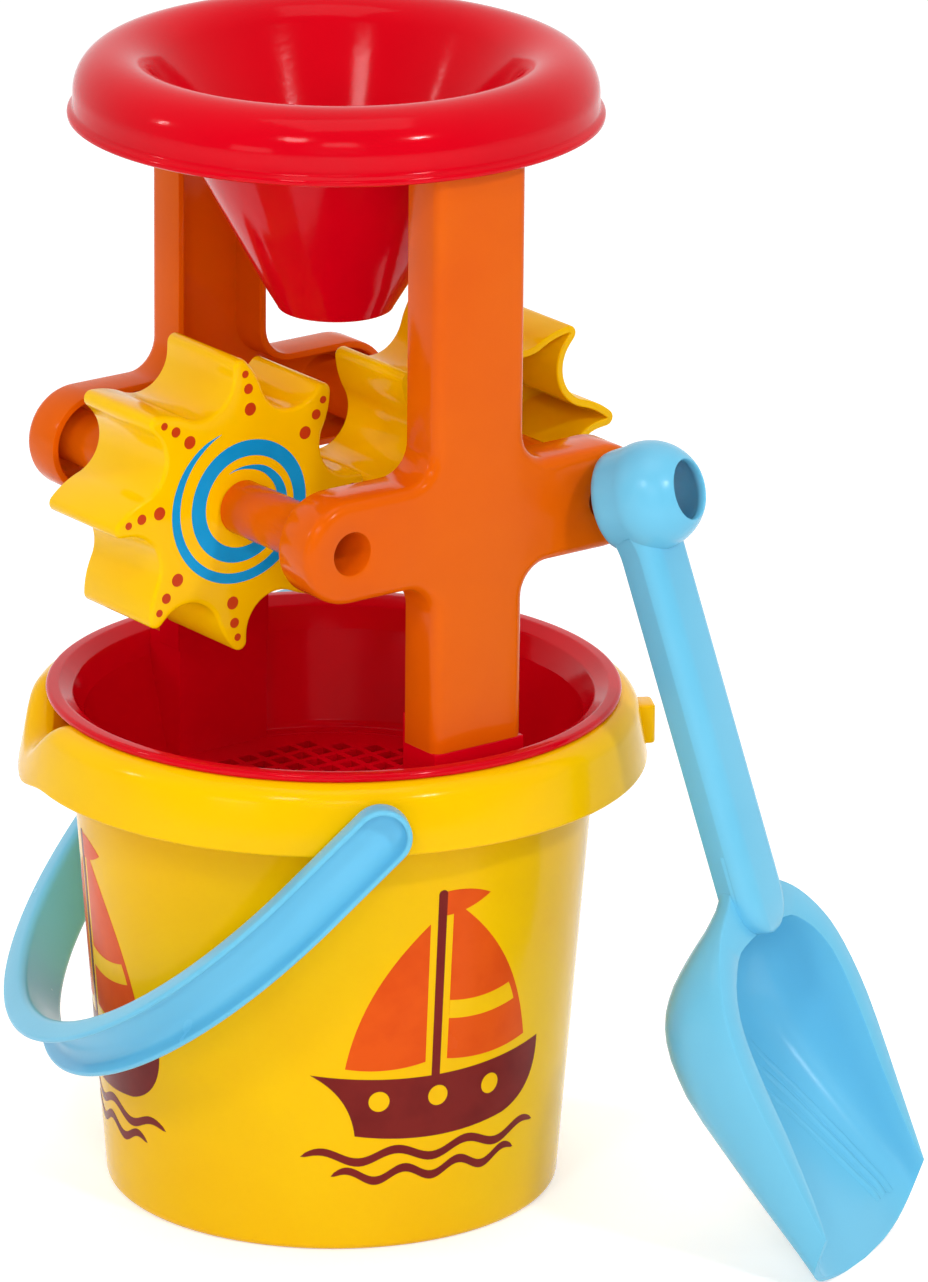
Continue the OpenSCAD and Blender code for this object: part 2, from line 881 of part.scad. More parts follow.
bucket();
bucket_handle();
sieve_tray();
sieve_plate();
front_column();
rear_column();
left_wheel();
right_wheel();
funnel();
shovel();
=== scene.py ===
import math

import bmesh
import bpy
from mathutils import Matrix, Vector


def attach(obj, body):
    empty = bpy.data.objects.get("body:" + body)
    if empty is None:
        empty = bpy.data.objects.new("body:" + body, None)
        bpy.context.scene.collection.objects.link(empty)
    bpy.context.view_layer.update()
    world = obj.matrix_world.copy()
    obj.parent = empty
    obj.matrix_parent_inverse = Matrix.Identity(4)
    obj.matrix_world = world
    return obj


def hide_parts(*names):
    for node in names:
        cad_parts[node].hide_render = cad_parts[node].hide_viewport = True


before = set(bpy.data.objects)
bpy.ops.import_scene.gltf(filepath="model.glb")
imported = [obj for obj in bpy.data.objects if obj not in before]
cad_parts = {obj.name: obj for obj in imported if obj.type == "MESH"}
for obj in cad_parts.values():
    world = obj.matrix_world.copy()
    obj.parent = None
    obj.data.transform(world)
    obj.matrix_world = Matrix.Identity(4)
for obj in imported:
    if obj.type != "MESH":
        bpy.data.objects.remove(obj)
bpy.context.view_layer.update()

# The toy's lengths are millimetres, and those of the camera, floor and lamps are metres.
MM = 0.001

# Sizes that several pieces share

RIM_TOP_Z = 147.0
LIP_TOP_Z = 149.4
PIVOT_ANGLE = 62.0
PIVOT_Z = 136.0
PEG_R = 3.5
AXLE_X = 44.2
AXLE_Z = 214.0
COL_OUT = 69.5
COL_HALF = 15.5
COL_TOP_Z = 326.8
JOURNAL_R = 5.4
WHEEL_W = 33.0
WHEEL_GAP = 0.4


# Materials

SATIN = (0.2, 0.3)
GLOSSY = (0.1, 0.17)
POLISHED = (0.08, 0.14)
IOR = 1.49
SHADE_SCALE = 18.0
SHADE_DETAIL = 3.0
SHADE_STOPS = (0.3, 0.6)
INK_SHADE_SCALE = 90.0
GLOSS_SCALE = 60.0
GLOSS_DETAIL = 4.0
GRAIN_SCALE = 420.0
GRAIN_DETAIL = 2.0
GRAIN_DEPTH = 0.6 * MM
FINE_GRAIN = 0.04
COARSE_GRAIN = 0.06


def srgb(r, g, b):
    """Linear colour of an 8-bit screen colour."""
    def lin(c):
        c /= 255.0
        return c / 12.92 if c <= 0.04045 else ((c + 0.055) / 1.055) ** 2.4
    return (lin(r), lin(g), lin(b), 1.0)


def noise(nt, coord, scale, detail):
    """Adds a noise texture in the piece's own space and gives its value."""
    tex = nt.nodes.new("ShaderNodeTexNoise")
    tex.inputs["Scale"].default_value = scale
    tex.inputs["Detail"].default_value = detail
    nt.links.new(coord.outputs["Object"], tex.inputs["Vector"])
    return tex.outputs["Fac"]


def plastic(name, colour, deep, rough=SATIN, grain=FINE_GRAIN, mottle=SHADE_SCALE, shine=0.1):
    """Moulded plastic: a slow drift between two shades, uneven gloss and a fine moulded grain."""
    m = bpy.data.materials.new(name)
    m.use_nodes = True
    nt = m.node_tree
    bsdf = nt.nodes["Principled BSDF"]
    bsdf.inputs["IOR"].default_value = IOR
    bsdf.inputs["Specular IOR Level"].default_value = shine
    coord = nt.nodes.new("ShaderNodeTexCoord")

    ramp = nt.nodes.new("ShaderNodeValToRGB")
    for stop, position, shade in zip(ramp.color_ramp.elements, SHADE_STOPS, (deep, colour)):
        stop.position = position
        stop.color = shade
    nt.links.new(noise(nt, coord, mottle, SHADE_DETAIL), ramp.inputs["Fac"])
    nt.links.new(ramp.outputs["Color"], bsdf.inputs["Base Color"])

    span = nt.nodes.new("ShaderNodeMapRange")
    span.inputs["To Min"].default_value = rough[0]
    span.inputs["To Max"].default_value = rough[1]
    nt.links.new(noise(nt, coord, GLOSS_SCALE, GLOSS_DETAIL), span.inputs["Value"])
    nt.links.new(span.outputs["Result"], bsdf.inputs["Roughness"])

    bump = nt.nodes.new("ShaderNodeBump")
    bump.inputs["Strength"].default_value = grain
    bump.inputs["Distance"].default_value = GRAIN_DEPTH
    nt.links.new(noise(nt, coord, GRAIN_SCALE, GRAIN_DETAIL), bump.inputs["Height"])
    nt.links.new(bump.outputs["Normal"], bsdf.inputs["Normal"])
    return m


def ink(name, colour, deep):
    """Printed ink: plastic with a finer drift of shade."""
    return plastic(name, colour, deep, mottle=INK_SHADE_SCALE)


YELLOW = plastic("yellow_plastic", srgb(254, 200, 0), srgb(252, 193, 0), GLOSSY)
RED = plastic("red_plastic", srgb(218, 0, 24), srgb(208, 0, 22), POLISHED, shine=0.13)
ORANGE = plastic("orange_plastic", srgb(230, 100, 3), srgb(225, 91, 3), GLOSSY)
BLUE = plastic("light_blue_plastic", srgb(114, 201, 235), srgb(106, 196, 232),
               grain=COARSE_GRAIN, shine=0.3)
MAROON_INK = ink("maroon_ink", srgb(128, 34, 30), srgb(116, 28, 26))
ORANGE_INK = ink("orange_ink", srgb(236, 88, 16), srgb(228, 78, 12))
YELLOW_INK = ink("yellow_ink", srgb(255, 200, 8), srgb(250, 190, 4))
DOT_INK = ink("dot_ink", srgb(204, 66, 20), srgb(196, 58, 18))
BLUE_INK = ink("blue_ink", srgb(18, 160, 222), srgb(12, 152, 214))


# Mesh tools

MERGE = 1e-4
SLIVER = 1e-5
STRAIGHT = 1e-4
MITRE_LIMIT = 0.25
SMOOTH_ANGLE = 38.0
# a rounded corner up to this radius has the fewest steps
SMALL_ROUND = 4.0


def rot(axis, degrees):
    return Matrix.Rotation(math.radians(degrees), 4, axis)


def move(x, y, z):
    return Matrix.Translation((x, y, z))


def spin(p, angle):
    """A flat point turned about the origin by an angle in radians."""
    c, s = math.cos(angle), math.sin(angle)
    return Vector((p.x * c - p.y * s, p.x * s + p.y * c))


def arc(centre, r, start, end, count):
    """Points of an arc between two angles in radians, with both its ends."""
    return [centre + Vector((math.cos(a), math.sin(a))) * r
            for a in (start + (end - start) * k / count for k in range(count + 1))]


def circle(r, count=48):
    return [Vector((r * math.cos(a), r * math.sin(a)))
            for a in (2 * math.pi * k / count for k in range(count))]


def smoothstep(a, b, x):
    t = min(1.0, max(0.0, (x - a) / (b - a)))
    return t * t * (3 - 2 * t)


def curve(table, x):
    """Smooth value between the points of a table, without overshoot."""
    if x <= table[0][0]:
        return table[0][1]
    for i in range(len(table) - 1):
        (x0, y0), (x1, y1) = table[i], table[i + 1]
        if x <= x1:
            break
    else:
        return table[-1][1]

    def rise(k):
        return (table[k + 1][1] - table[k][1]) / (table[k + 1][0] - table[k][0])

    def slope(k):
        if k == 0 or k == len(table) - 1:
            return rise(min(k, len(table) - 2))
        a, b = rise(k - 1), rise(k)
        return 0.0 if a * b <= 0 else 2 * a * b / (a + b)
    h = x1 - x0
    t = (x - x0) / h
    return (y0 * (1 + 2 * t) * (1 - t) ** 2 + slope(i) * h * t * (1 - t) ** 2
            + y1 * t * t * (3 - 2 * t) + slope(i + 1) * h * t * t * (t - 1))


def rounded(corners, steps=6):
    """Closed outline through (x, y, radius) corners, each rounded; a fourth value sets its steps."""
    out = []
    for i, corner in enumerate(corners):
        p, r = Vector(corner[:2]), corner[2]
        a = (Vector(corners[i - 1][:2]) - p).normalized()
        b = (Vector(corners[(i + 1) % len(corners)][:2]) - p).normalized()
        if r <= 0 or a.angle(b) > math.pi - STRAIGHT:
            out.append(p)
            continue
        half = a.angle(b) / 2
        reach = r / math.tan(half)
        centre = p + (a + b).normalized() * (r / math.sin(half))
        start = p + a * reach - centre
        end = p + b * reach - centre
        sweep = math.copysign(math.pi - half * 2, start.x * end.y - start.y * end.x)
        count = corner[3] if len(corner) > 3 else max(2, int(steps * max(1.0, r / SMALL_ROUND)))
        out += [centre + spin(start, sweep * k / count) for k in range(count + 1)]
    return out


def mirrored(corners):
    """The same corners on the other side of the middle line, in the opposite order."""
    return [(-c[0],) + tuple(c[1:]) for c in reversed(corners)]


def inset(outline, d):
    """Outline of the same point count, moved inwards by d (the outline runs anticlockwise)."""
    out = []
    for i, p in enumerate(outline):
        a = (p - outline[i - 1]).normalized()
        b = (outline[(i + 1) % len(outline)] - p).normalized()
        na, nb = Vector((-a.y, a.x)), Vector((-b.y, b.x))
        out.append(p + (na + nb) * (d / max(MITRE_LIMIT, 1 + na.dot(nb))))
    return out


def skin(bm, rows, closed=True):
    """Four-sided faces between each row of vertices and the next; closed rows join round their ends."""
    n = len(rows[0])
    for a, b in zip(rows, rows[1:]):
        for k in range(n if closed else n - 1):
            m = (k + 1) % n
            bm.faces.new((a[k], a[m], b[m], b[k]))


def closed_skin(bm, rows):
    """Skins closed rows of vertices and shuts both ends with flat faces."""
    skin(bm, rows)
    bm.faces.new(list(reversed(rows[0])))
    bm.faces.new(rows[-1])


def loft(bm, rings, place, shut=True):
    """Skins a list of (outline, height) rings, with its ends shut or open."""
    rows = [[bm.verts.new(place @ Vector((p.x, p.y, h))) for p in outline] for outline, h in rings]
    if shut:
        closed_skin(bm, rows)
    else:
        skin(bm, rows)
    return rows


def quarter_round(r, steps):
    """(inset, depth) pairs of a rounded edge, from the flat face to the side."""
    return [(r * (1 - math.sin(t)), r * (1 - math.cos(t)))
            for t in (math.pi / 2 * k / steps for k in range(steps + 1))]


def prism(bm, outline, depth, place, edge=0.0, steps=3):
    """Solid of an outline, from height 0 to depth, with its edges rounded."""
    if edge:
        low = [(inset(outline, d), h) for d, h in quarter_round(edge, steps)]
        rings = low + [(ring, depth - h) for ring, h in reversed(low)]
    else:
        rings = [(outline, 0.0), (outline, depth)]
    loft(bm, rings, place)


def lathe(bm, outline, count, place=Matrix.Identity(4)):
    """Turns a closed outline of (radius, height) about the Z axis."""
    rings = []
    for r, z in outline:
        if r < MERGE:
            rings.append([bm.verts.new(place @ Vector((0, 0, z)))])
        else:
            turns = (2 * math.pi * k / count for k in range(count))
            rings.append([bm.verts.new(place @ Vector((r * math.cos(t), r * math.sin(t), z))) for t in turns])
    for a, b in zip(rings, rings[1:] + rings[:1]):
        if len(a) == 1 and len(b) == 1:
            continue
        for k in range(count):
            m = (k + 1) % count
            if len(a) == 1:
                bm.faces.new((a[0], b[k], b[m]))
            elif len(b) == 1:
                bm.faces.new((a[k], b[0], a[m]))
            else:
                bm.faces.new((a[k], b[k], b[m], a[m]))
    return [v for ring in rings for v in ring]


def fill(bm, edges):
    """Flat triangles inside closed runs of edges."""
    bmesh.ops.triangle_fill(bm, use_beauty=True, use_dissolve=False, edges=edges)


def fill_loops(bm, *loops):
    """Flat face inside the first loop of vertices, with the other loops as holes."""
    edges = []
    for loop in loops:
        for pair in zip(loop, loop[1:] + loop[:1]):
            edges.append(bm.edges.get(pair) or bm.edges.new(pair))
    fill(bm, edges)


def cut_away(target, cutter):
    """Takes one bmesh out of another by way of two throwaway objects, and returns the new bmesh."""
    objects = []
    for b in (target, cutter):
        bmesh.ops.remove_doubles(b, verts=b.verts, dist=MERGE)
        bmesh.ops.recalc_face_normals(b, faces=b.faces)
        me = bpy.data.meshes.new("work")
        b.to_mesh(me)
        b.free()
        ob = bpy.data.objects.new("work", me)
        bpy.context.scene.collection.objects.link(ob)
        objects.append(ob)
    mod = objects[0].modifiers.new("cut", "BOOLEAN")
    mod.operation = "DIFFERENCE"
    mod.solver = "EXACT"
    mod.object = objects[1]
    result = bmesh.new()
    result.from_object(objects[0], bpy.context.evaluated_depsgraph_get())
    for ob in objects:
        me = ob.data
        bpy.data.objects.remove(ob)
        bpy.data.meshes.remove(me)
    return result


def finish_mesh(name, bm, material, body, smooth=SMOOTH_ANGLE, replaced=()):
    """Turns millimetres into metres, shades the mesh and puts it on its body."""
    bmesh.ops.remove_doubles(bm, verts=bm.verts, dist=MERGE)
    bmesh.ops.dissolve_degenerate(bm, dist=SLIVER, edges=bm.edges)
    bmesh.ops.recalc_face_normals(bm, faces=bm.faces)
    bmesh.ops.scale(bm, vec=(MM, MM, MM), verts=bm.verts)
    me = bpy.data.meshes.new(name)
    bm.to_mesh(me)
    bm.free()
    me.shade_smooth()
    me.set_sharp_from_angle(angle=math.radians(smooth))
    ob = bpy.data.objects.new(name, me)
    bpy.context.scene.collection.objects.link(ob)
    me.materials.append(material)
    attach(ob, body)
    if replaced:
        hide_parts(*replaced)


# Bucket

FOOT_R = 65.2
SHOULDER_R = 76.02
SHOULDER_Z = 139.6
SKIRT_R = 90.0
SKIRT_LOW_Z = 127.5
RIM_UNDER_Z = 145.0
BUCKET_FLOOR_Z = 2.5
# half section from the middle of the foot round the skirt and back: radius, height, rounding
BUCKET_OUTLINE = (
    (0, 0, 0), (FOOT_R, 0, 2.4), (SHOULDER_R, SHOULDER_Z, 1.2), (79.96, RIM_UNDER_Z, 0.8),
    (84.88, RIM_UNDER_Z, 4.6), (87.97, SKIRT_LOW_Z, 0.8), (SKIRT_R, SKIRT_LOW_Z, 0.8),
    (86.56, RIM_TOP_Z, 6.8), (79, RIM_TOP_Z, 0.9), (74.13, 141, 1.6), (63.4, BUCKET_FLOOR_Z, 3),
    (0, BUCKET_FLOOR_Z, 0))
BUCKET_SIDES = 240
WALL_FROM_R = 60.0
WALL_RING_STEP = 6.0
SPOUT_ANGLE = 152.0
SPOUT_HALF = 25.0
SPOUT_LOW_Z = 118.0
SPOUT_FULL_Z = 143.0
SPOUT_IN_R = 70.0
SPOUT_OUT_R = 78.0
SPOUT_DIP = 11.5
SPOUT_FLARE_SHARE = 0.018
PEG_CLEAR = 0.08
PEG_HOLE_START_R = 80.9
PEG_HOLE_LEN = 12.0
# block opposite the spout, seen from above: radius, place across, rounding
LUG_OUTLINE = ((84.2, -4.5, 0.6), (92.8, -4.5, 1.4), (92.8, 4.5, 1.4), (84.2, 4.5, 0.6))
LUG_Z = 127.6
LUG_HIGH = 11.5
LUG_EDGE = 0.7


def ringed_walls(outline):
    """The outline with more points on its long walls, so that the spout bends them smoothly."""
    out = []
    for p, q in zip(outline, outline[1:] + outline[:1]):
        out.append(p)
        length = (q - p).length
        if min(p.x, q.x) > WALL_FROM_R and length > WALL_RING_STEP * 2:
            n = int(length / WALL_RING_STEP)
            out += [p.lerp(q, k / n) for k in range(1, n)]
    return out


def bend_spout(verts):
    """Dips the rim and draws it out where the spout is."""
    angle = math.radians(SPOUT_ANGLE)
    out = Vector((math.cos(angle), math.sin(angle)))
    for v in verts:
        flat = Vector((v.co.x, v.co.y))
        across = abs(flat.x * out.y - flat.y * out.x)
        if flat.dot(out) <= 0 or across > SPOUT_HALF or v.co.z < SPOUT_LOW_Z:
            continue
        dip = math.cos(math.pi / 2 * across / SPOUT_HALF) ** 2
        dip *= smoothstep(SPOUT_LOW_Z, SPOUT_FULL_Z, v.co.z)
        grow = 1 + SPOUT_FLARE_SHARE * dip * smoothstep(SPOUT_IN_R, SPOUT_OUT_R, flat.length)
        v.co = Vector((flat.x * grow, flat.y * grow, v.co.z - SPOUT_DIP * dip))


def make_bucket():
    bm = bmesh.new()
    bend_spout(lathe(bm, ringed_walls(rounded(BUCKET_OUTLINE)), BUCKET_SIDES))
    holes = bmesh.new()
    for side in (0, 180):
        place = rot("Z", PIVOT_ANGLE + side) @ move(PEG_HOLE_START_R, 0, PIVOT_Z) @ rot("Y", 90)
        prism(holes, circle(PEG_R + PEG_CLEAR), PEG_HOLE_LEN, place)
    bm = cut_away(bm, holes)
    place = rot("Z", SPOUT_ANGLE + 180) @ move(0, 0, LUG_Z)
    prism(bm, rounded(LUG_OUTLINE, steps=4), LUG_HIGH, place, LUG_EDGE)
    finish_mesh("bucket_shell", bm, YELLOW, "bucket", replaced=("bucket",))


# Bail handle

HANDLE_IN_R = 90.8
HANDLE_D = 8.2
HANDLE_W = 17.0
HANDLE_LEG = 27.0
HANDLE_DROOP = 45.0
HANDLE_BACK_ROUND = 2.4
HANDLE_EDGE_ROUND = 1.0
GROOVE_HALF = 6.9
GROOVE_D = 6.3
GROOVE_ROUND = 0.8
GROOVE_POWER = 0.5
GROOVE_STEPS = 14
LEG_STEPS = 8
BEND_STEPS = 96
END_STEPS = 24
# half section of a peg from the handle inwards: radius, height, rounding
PEG_OUTLINE = (
    (0, 0, 0), (PEG_R, 0, 0), (PEG_R, 5.6, 0.2), (4.5, 5.6, 0.4), (4.3, 7.6, 0.8), (0, 7.6, 0))
PEG_SUNK = 0.4
PEG_SIDES = 32


def channel_outline():
    """Section of the handle, x from its inner face outwards, y across, as a rounded trough."""
    half = HANDLE_W / 2
    low = [(0, -half, HANDLE_BACK_ROUND), (HANDLE_D, -half, HANDLE_EDGE_ROUND),
           (HANDLE_D, -GROOVE_HALF, GROOVE_ROUND)]
    groove = []
    for k in range(1, GROOVE_STEPS):
        t = math.pi * k / GROOVE_STEPS
        across = math.copysign(abs(math.cos(t)) ** GROOVE_POWER, math.cos(t))
        groove.append((HANDLE_D - GROOVE_D * math.sin(t) ** GROOVE_POWER, -GROOVE_HALF * across, 0))
    return rounded(low + groove + [(x, -y, r) for x, y, r in reversed(low)], steps=5)


def make_handle():
    bm = bmesh.new()
    place = move(0, 0, PIVOT_Z) @ rot("Z", PIVOT_ANGLE) @ rot("X", -HANDLE_DROOP)
    outline = [Vector((HANDLE_IN_R + p.x, p.y)) for p in channel_outline()]
    # the middle of the inner face is a point too, because the round ends start there
    section = outline + [Vector((HANDLE_IN_R, 0))]
    leg = [HANDLE_LEG * k / LEG_STEPS for k in range(LEG_STEPS)]
    path = [(0.0, y) for y in leg]
    path += [(math.pi * k / BEND_STEPS, HANDLE_LEG) for k in range(BEND_STEPS + 1)]
    path += [(math.pi, y) for y in reversed(leg)]
    rows = []
    for t, y in path:
        c, s = math.cos(t), math.sin(t)
        rows.append([bm.verts.new(place @ Vector((p.x * c, y + p.x * s, p.y))) for p in section])
    skin(bm, rows)
    # each end turns the outer half of the section about the pivot
    half = [p for p in outline if p.y > -MERGE]
    for side in (1, -1):
        fans = []
        for k in range(END_STEPS + 1):
            c, s = math.cos(math.pi * k / END_STEPS), math.sin(math.pi * k / END_STEPS)
            fans.append([bm.verts.new(place @ Vector((side * p.x, -p.y * s, p.y * c))) for p in half])
        skin(bm, fans, closed=False)
        middle = bm.verts.new(place @ Vector((side * HANDLE_IN_R, 0, 0)))
        for a, b in zip(fans, fans[1:]):
            bm.faces.new((a[-1], middle, b[-1]))
        inwards = move(side * (HANDLE_IN_R + PEG_SUNK), 0, 0) @ rot("Y", -90 * side)
        lathe(bm, rounded(PEG_OUTLINE, steps=3), PEG_SIDES, place @ inwards)
    finish_mesh("bail_handle", bm, BLUE, "handle", replaced=("bucket_handle",))


# Sieve tray

TRAY_LOW_Z = 110.0
TRAY_LEDGE_Z = 111.6
TRAY_FLOOR_Z = 113.6
TRAY_NECK_Z = 141.0
LIP_R = 82.3
TRAY_SIDES = 180
# half section of the dish round the sieve plate: radius, height, rounding
TRAY_OUTLINE = (
    (54, TRAY_LOW_Z, 0.3), (65, TRAY_LOW_Z, 1.6), (73.63, TRAY_NECK_Z, 1.8), (78.5, RIM_TOP_Z, 0.8),
    (LIP_R, RIM_TOP_Z, 1.0), (LIP_R, LIP_TOP_Z, 1.2), (78.6, LIP_TOP_Z, 1.6), (74.6, RIM_TOP_Z, 1.8),
    (71.43, TRAY_NECK_Z, 2.4), (62.8, TRAY_FLOOR_Z, 3), (57.3, TRAY_FLOOR_Z, 0.3),
    (57.3, TRAY_LEDGE_Z, 0), (54, TRAY_LEDGE_Z, 0.3))
# seat, post and cheek of a column, seen from the side: distance from the middle, height, rounding
SEAT_IN = 54.5
SEAT_LIP = 54.96
SEAT_LIP_Z = LIP_TOP_Z + 8.6
SEAT_OUTLINE = (
    (SEAT_IN, TRAY_FLOOR_Z, 0), (63.2, TRAY_FLOOR_Z, 0), (COL_OUT, 133, 0), (COL_OUT, LIP_TOP_Z, 0.5),
    (SEAT_LIP, LIP_TOP_Z, 0), (SEAT_LIP, SEAT_LIP_Z, 0.1), (SEAT_IN, SEAT_LIP_Z, 0.1))
SEAT_EDGE = 0.12
POST_IN = 55.3
POST_OUT = 67.0
POST_LOW_Z = LIP_TOP_Z - 2
POST_TOP_Z = LIP_TOP_Z + 9
POST_OUTLINE = (
    (POST_IN, POST_LOW_Z, 0), (POST_OUT, POST_LOW_Z, 0), (POST_OUT, POST_TOP_Z, 0.6),
    (POST_IN, POST_TOP_Z, 0.6))
POST_W = 26.0
POST_EDGE = 0.5
CHEEK_OUT = 64.0
CHEEK_LOW_Z = LIP_TOP_Z - 3
CHEEK_OUTLINE = (
    (SEAT_IN, CHEEK_LOW_Z, 0), (CHEEK_OUT, CHEEK_LOW_Z, 0), (CHEEK_OUT, SEAT_LIP_Z, 1.0),
    (SEAT_IN, SEAT_LIP_Z, 0.1))
CHEEK_W = 0.45
CHEEK_GAP = 0.05
CHEEK_EDGE = 0.1


def make_tray():
    bm = bmesh.new()
    lathe(bm, rounded(TRAY_OUTLINE), TRAY_SIDES)
    for turn in (-90, 90):
        place = rot("Z", turn) @ rot("X", 90)
        prism(bm, rounded(SEAT_OUTLINE, steps=4), COL_HALF * 2, place @ move(0, 0, -COL_HALF), SEAT_EDGE)
        prism(bm, rounded(POST_OUTLINE, steps=4), POST_W, place @ move(0, 0, -POST_W / 2), POST_EDGE)
    # low cheeks guide the rear column's foot
    for start in (-COL_HALF - CHEEK_GAP - CHEEK_W, COL_HALF + CHEEK_GAP):
        place = rot("Z", 90) @ rot("X", 90) @ move(0, 0, start)
        prism(bm, rounded(CHEEK_OUTLINE, steps=4), CHEEK_W, place, CHEEK_EDGE)
    finish_mesh("tray_dish", bm, RED, "mill", replaced=("sieve_tray",))


# Columns

COL_DEPTH = 14.5
COL_WALL = 2.2
COL_SOFT = 3.3
COL_SOFT_STEPS = 5
COL_TOP_ROUND = 1.4
COL_TOP_ROUND_LEAST = 0.3
COL_TOP_STEPS = 4
COL_FOOT_DROP = 12.0
ARM_HALF = 15.0
ARM_FLAT = 0.01
ARM_STEPS = 16
ARM_FILLET = 9.0
ARM_FILLET_STEPS = 10
# open edge and inner corner of the wall: how far in from the outline, depth
COL_EDGE = [
    (0, COL_DEPTH - 0.5), (0.15, COL_DEPTH - 0.15), (0.5, COL_DEPTH), (COL_WALL - 0.4, COL_DEPTH),
    (COL_WALL, COL_DEPTH - 0.4), (COL_WALL, COL_WALL + 0.9), (COL_WALL + 0.27, COL_WALL + 0.27),
    (COL_WALL + 0.9, COL_WALL)]
TUBE_R = 7.8
TUBE_CORE_R = 6.1
TUBE_LEN = COL_OUT - WHEEL_W / 2 - WHEEL_GAP
TUBE_STEP = TUBE_LEN - 2.4
TUBE_BORE_R = JOURNAL_R + 0.04
JOURNAL_CORE_R = 3.4
JOURNAL_LEN = WHEEL_W + WHEEL_GAP * 2 + 16.0
JOURNAL_END = TUBE_LEN + JOURNAL_LEN
# axle tubes, from the mouth in the column's face along the bore: radius, depth
FRONT_BORE = [
    (TUBE_CORE_R + 0.7, 0), (TUBE_CORE_R + 0.2, 0.2), (TUBE_CORE_R, 0.7), (TUBE_CORE_R, TUBE_STEP),
    (JOURNAL_CORE_R, TUBE_STEP), (JOURNAL_CORE_R, JOURNAL_END - 0.3), (JOURNAL_CORE_R + 0.3, JOURNAL_END),
    (JOURNAL_R - 0.5, JOURNAL_END), (JOURNAL_R, JOURNAL_END - 0.5), (JOURNAL_R, TUBE_LEN)]
REAR_BORE = [
    (TUBE_BORE_R + 0.7, 0), (TUBE_BORE_R + 0.2, 0.2), (TUBE_BORE_R, 0.7), (TUBE_BORE_R, TUBE_LEN - 0.3),
    (TUBE_BORE_R + 0.3, TUBE_LEN)]
# and back along the outside of the tube to the inner face of the wall
TUBE_OUTSIDE = [
    (TUBE_R - 0.4, TUBE_LEN), (TUBE_R, TUBE_LEN - 0.4), (TUBE_R, COL_WALL + 0.8),
    (TUBE_R + 0.25, COL_WALL + 0.25), (TUBE_R + 0.8, COL_WALL)]


def column_outline(wall):
    """Cross of a column drawn in by wall, its foot let down to be cut; always the same point count."""
    half, arm, end = COL_HALF - wall, ARM_HALF - wall, AXLE_X + ARM_HALF - wall
    fillet = (ARM_FILLET + wall, ARM_FILLET_STEPS)
    tip = (arm - ARM_FLAT, ARM_STEPS)
    top = (max(COL_TOP_ROUND_LEAST, COL_TOP_ROUND - wall), COL_TOP_STEPS)
    right = [(half, LIP_TOP_Z - COL_FOOT_DROP, 0), (half, AXLE_Z - arm, *fillet),
             (end, AXLE_Z - arm, *tip), (end, AXLE_Z + arm, *tip),
             (half, AXLE_Z + arm, *fillet), (half, COL_TOP_Z - wall, *top)]
    return rounded(right + mirrored(right))


def make_column(name, node, turn, bore):
    """Shell with softly rounded outer edges, open inside, and its hollow axle tubes."""
    place = rot("Z", turn) @ move(0, -COL_OUT, 0) @ rot("X", 90) @ Matrix.Scale(-1, 4, (0, 0, 1))
    bm = bmesh.new()
    walls = quarter_round(COL_SOFT, COL_SOFT_STEPS) + COL_EDGE
    rows = loft(bm, [(column_outline(d), h) for d, h in walls], place, shut=False)
    tubes = []
    for x in (-AXLE_X, AXLE_X):
        rings = [(circle(r), h) for r, h in bore + TUBE_OUTSIDE]
        tubes.append(loft(bm, rings, place @ move(x, AXLE_Z, 0), shut=False))
    fill_loops(bm, rows[0], *(t[0] for t in tubes))
    fill_loops(bm, rows[-1], *(t[-1] for t in tubes))
    everything = bm.verts[:] + bm.edges[:] + bm.faces[:]
    cut = bmesh.ops.bisect_plane(bm, geom=everything, plane_co=(0, 0, LIP_TOP_Z), plane_no=(0, 0, 1),
                                 clear_inner=True)
    fill(bm, [e for e in cut["geom_cut"] if isinstance(e, bmesh.types.BMEdge)])
    finish_mesh(name, bm, ORANGE, "mill", replaced=(node,))


# Wheels

BLADES = 8
NOTCH_R = 10.9
NOTCH_AT = (38.0, 14.3)
NOTCH_STEPS = 18
FLANK_R = 25.0
FLANK_ANGLE = 156.0
FLANK_STEPS = 14
BLADE_TIP_R = 2.4
BLADE_TIP_LEAST = 0.05
TIP_STEPS = 6
FACE_STEPS = 3
WHEEL_WALL = 2.2
WHEEL_FACE = 2.2
WHEEL_INNER_Z = WHEEL_W - WHEEL_FACE
WHEEL_SOFT = 1.3
WHEEL_SOFT_STEPS = 4
HUB_R = 8.4
HUB_BORE_R = JOURNAL_R + 0.08
SAME_HEIGHT = 1e-3
# outside and inside of the wall at the open side: how far in from the outline, height
WHEEL_OPEN_EDGE = [(0.4, 0.0), (0.1, 0.12), (0, 0.45)]
WHEEL_INSIDE = [
    (WHEEL_WALL - 0.3, 0.0), (WHEEL_WALL, 0.3), (WHEEL_WALL, WHEEL_INNER_Z - 0.6),
    (WHEEL_WALL + 0.5, WHEEL_INNER_Z)]
# hub from the inner face round its end and through the bore: radius, height
HUB = [
    (HUB_R, WHEEL_INNER_Z), (HUB_R, 0.4), (HUB_R - 0.4, 0.0), (HUB_BORE_R + 0.3, 0.0), (HUB_BORE_R, 0.3),
    (HUB_BORE_R, WHEEL_W - 0.3), (HUB_BORE_R + 0.3, WHEEL_W)]
# name, place of the axle, turn at rest, whether the closed face is to the rear
WHEELS = (("left", -AXLE_X, 43.4, False), ("right", AXLE_X, 39.5, True))


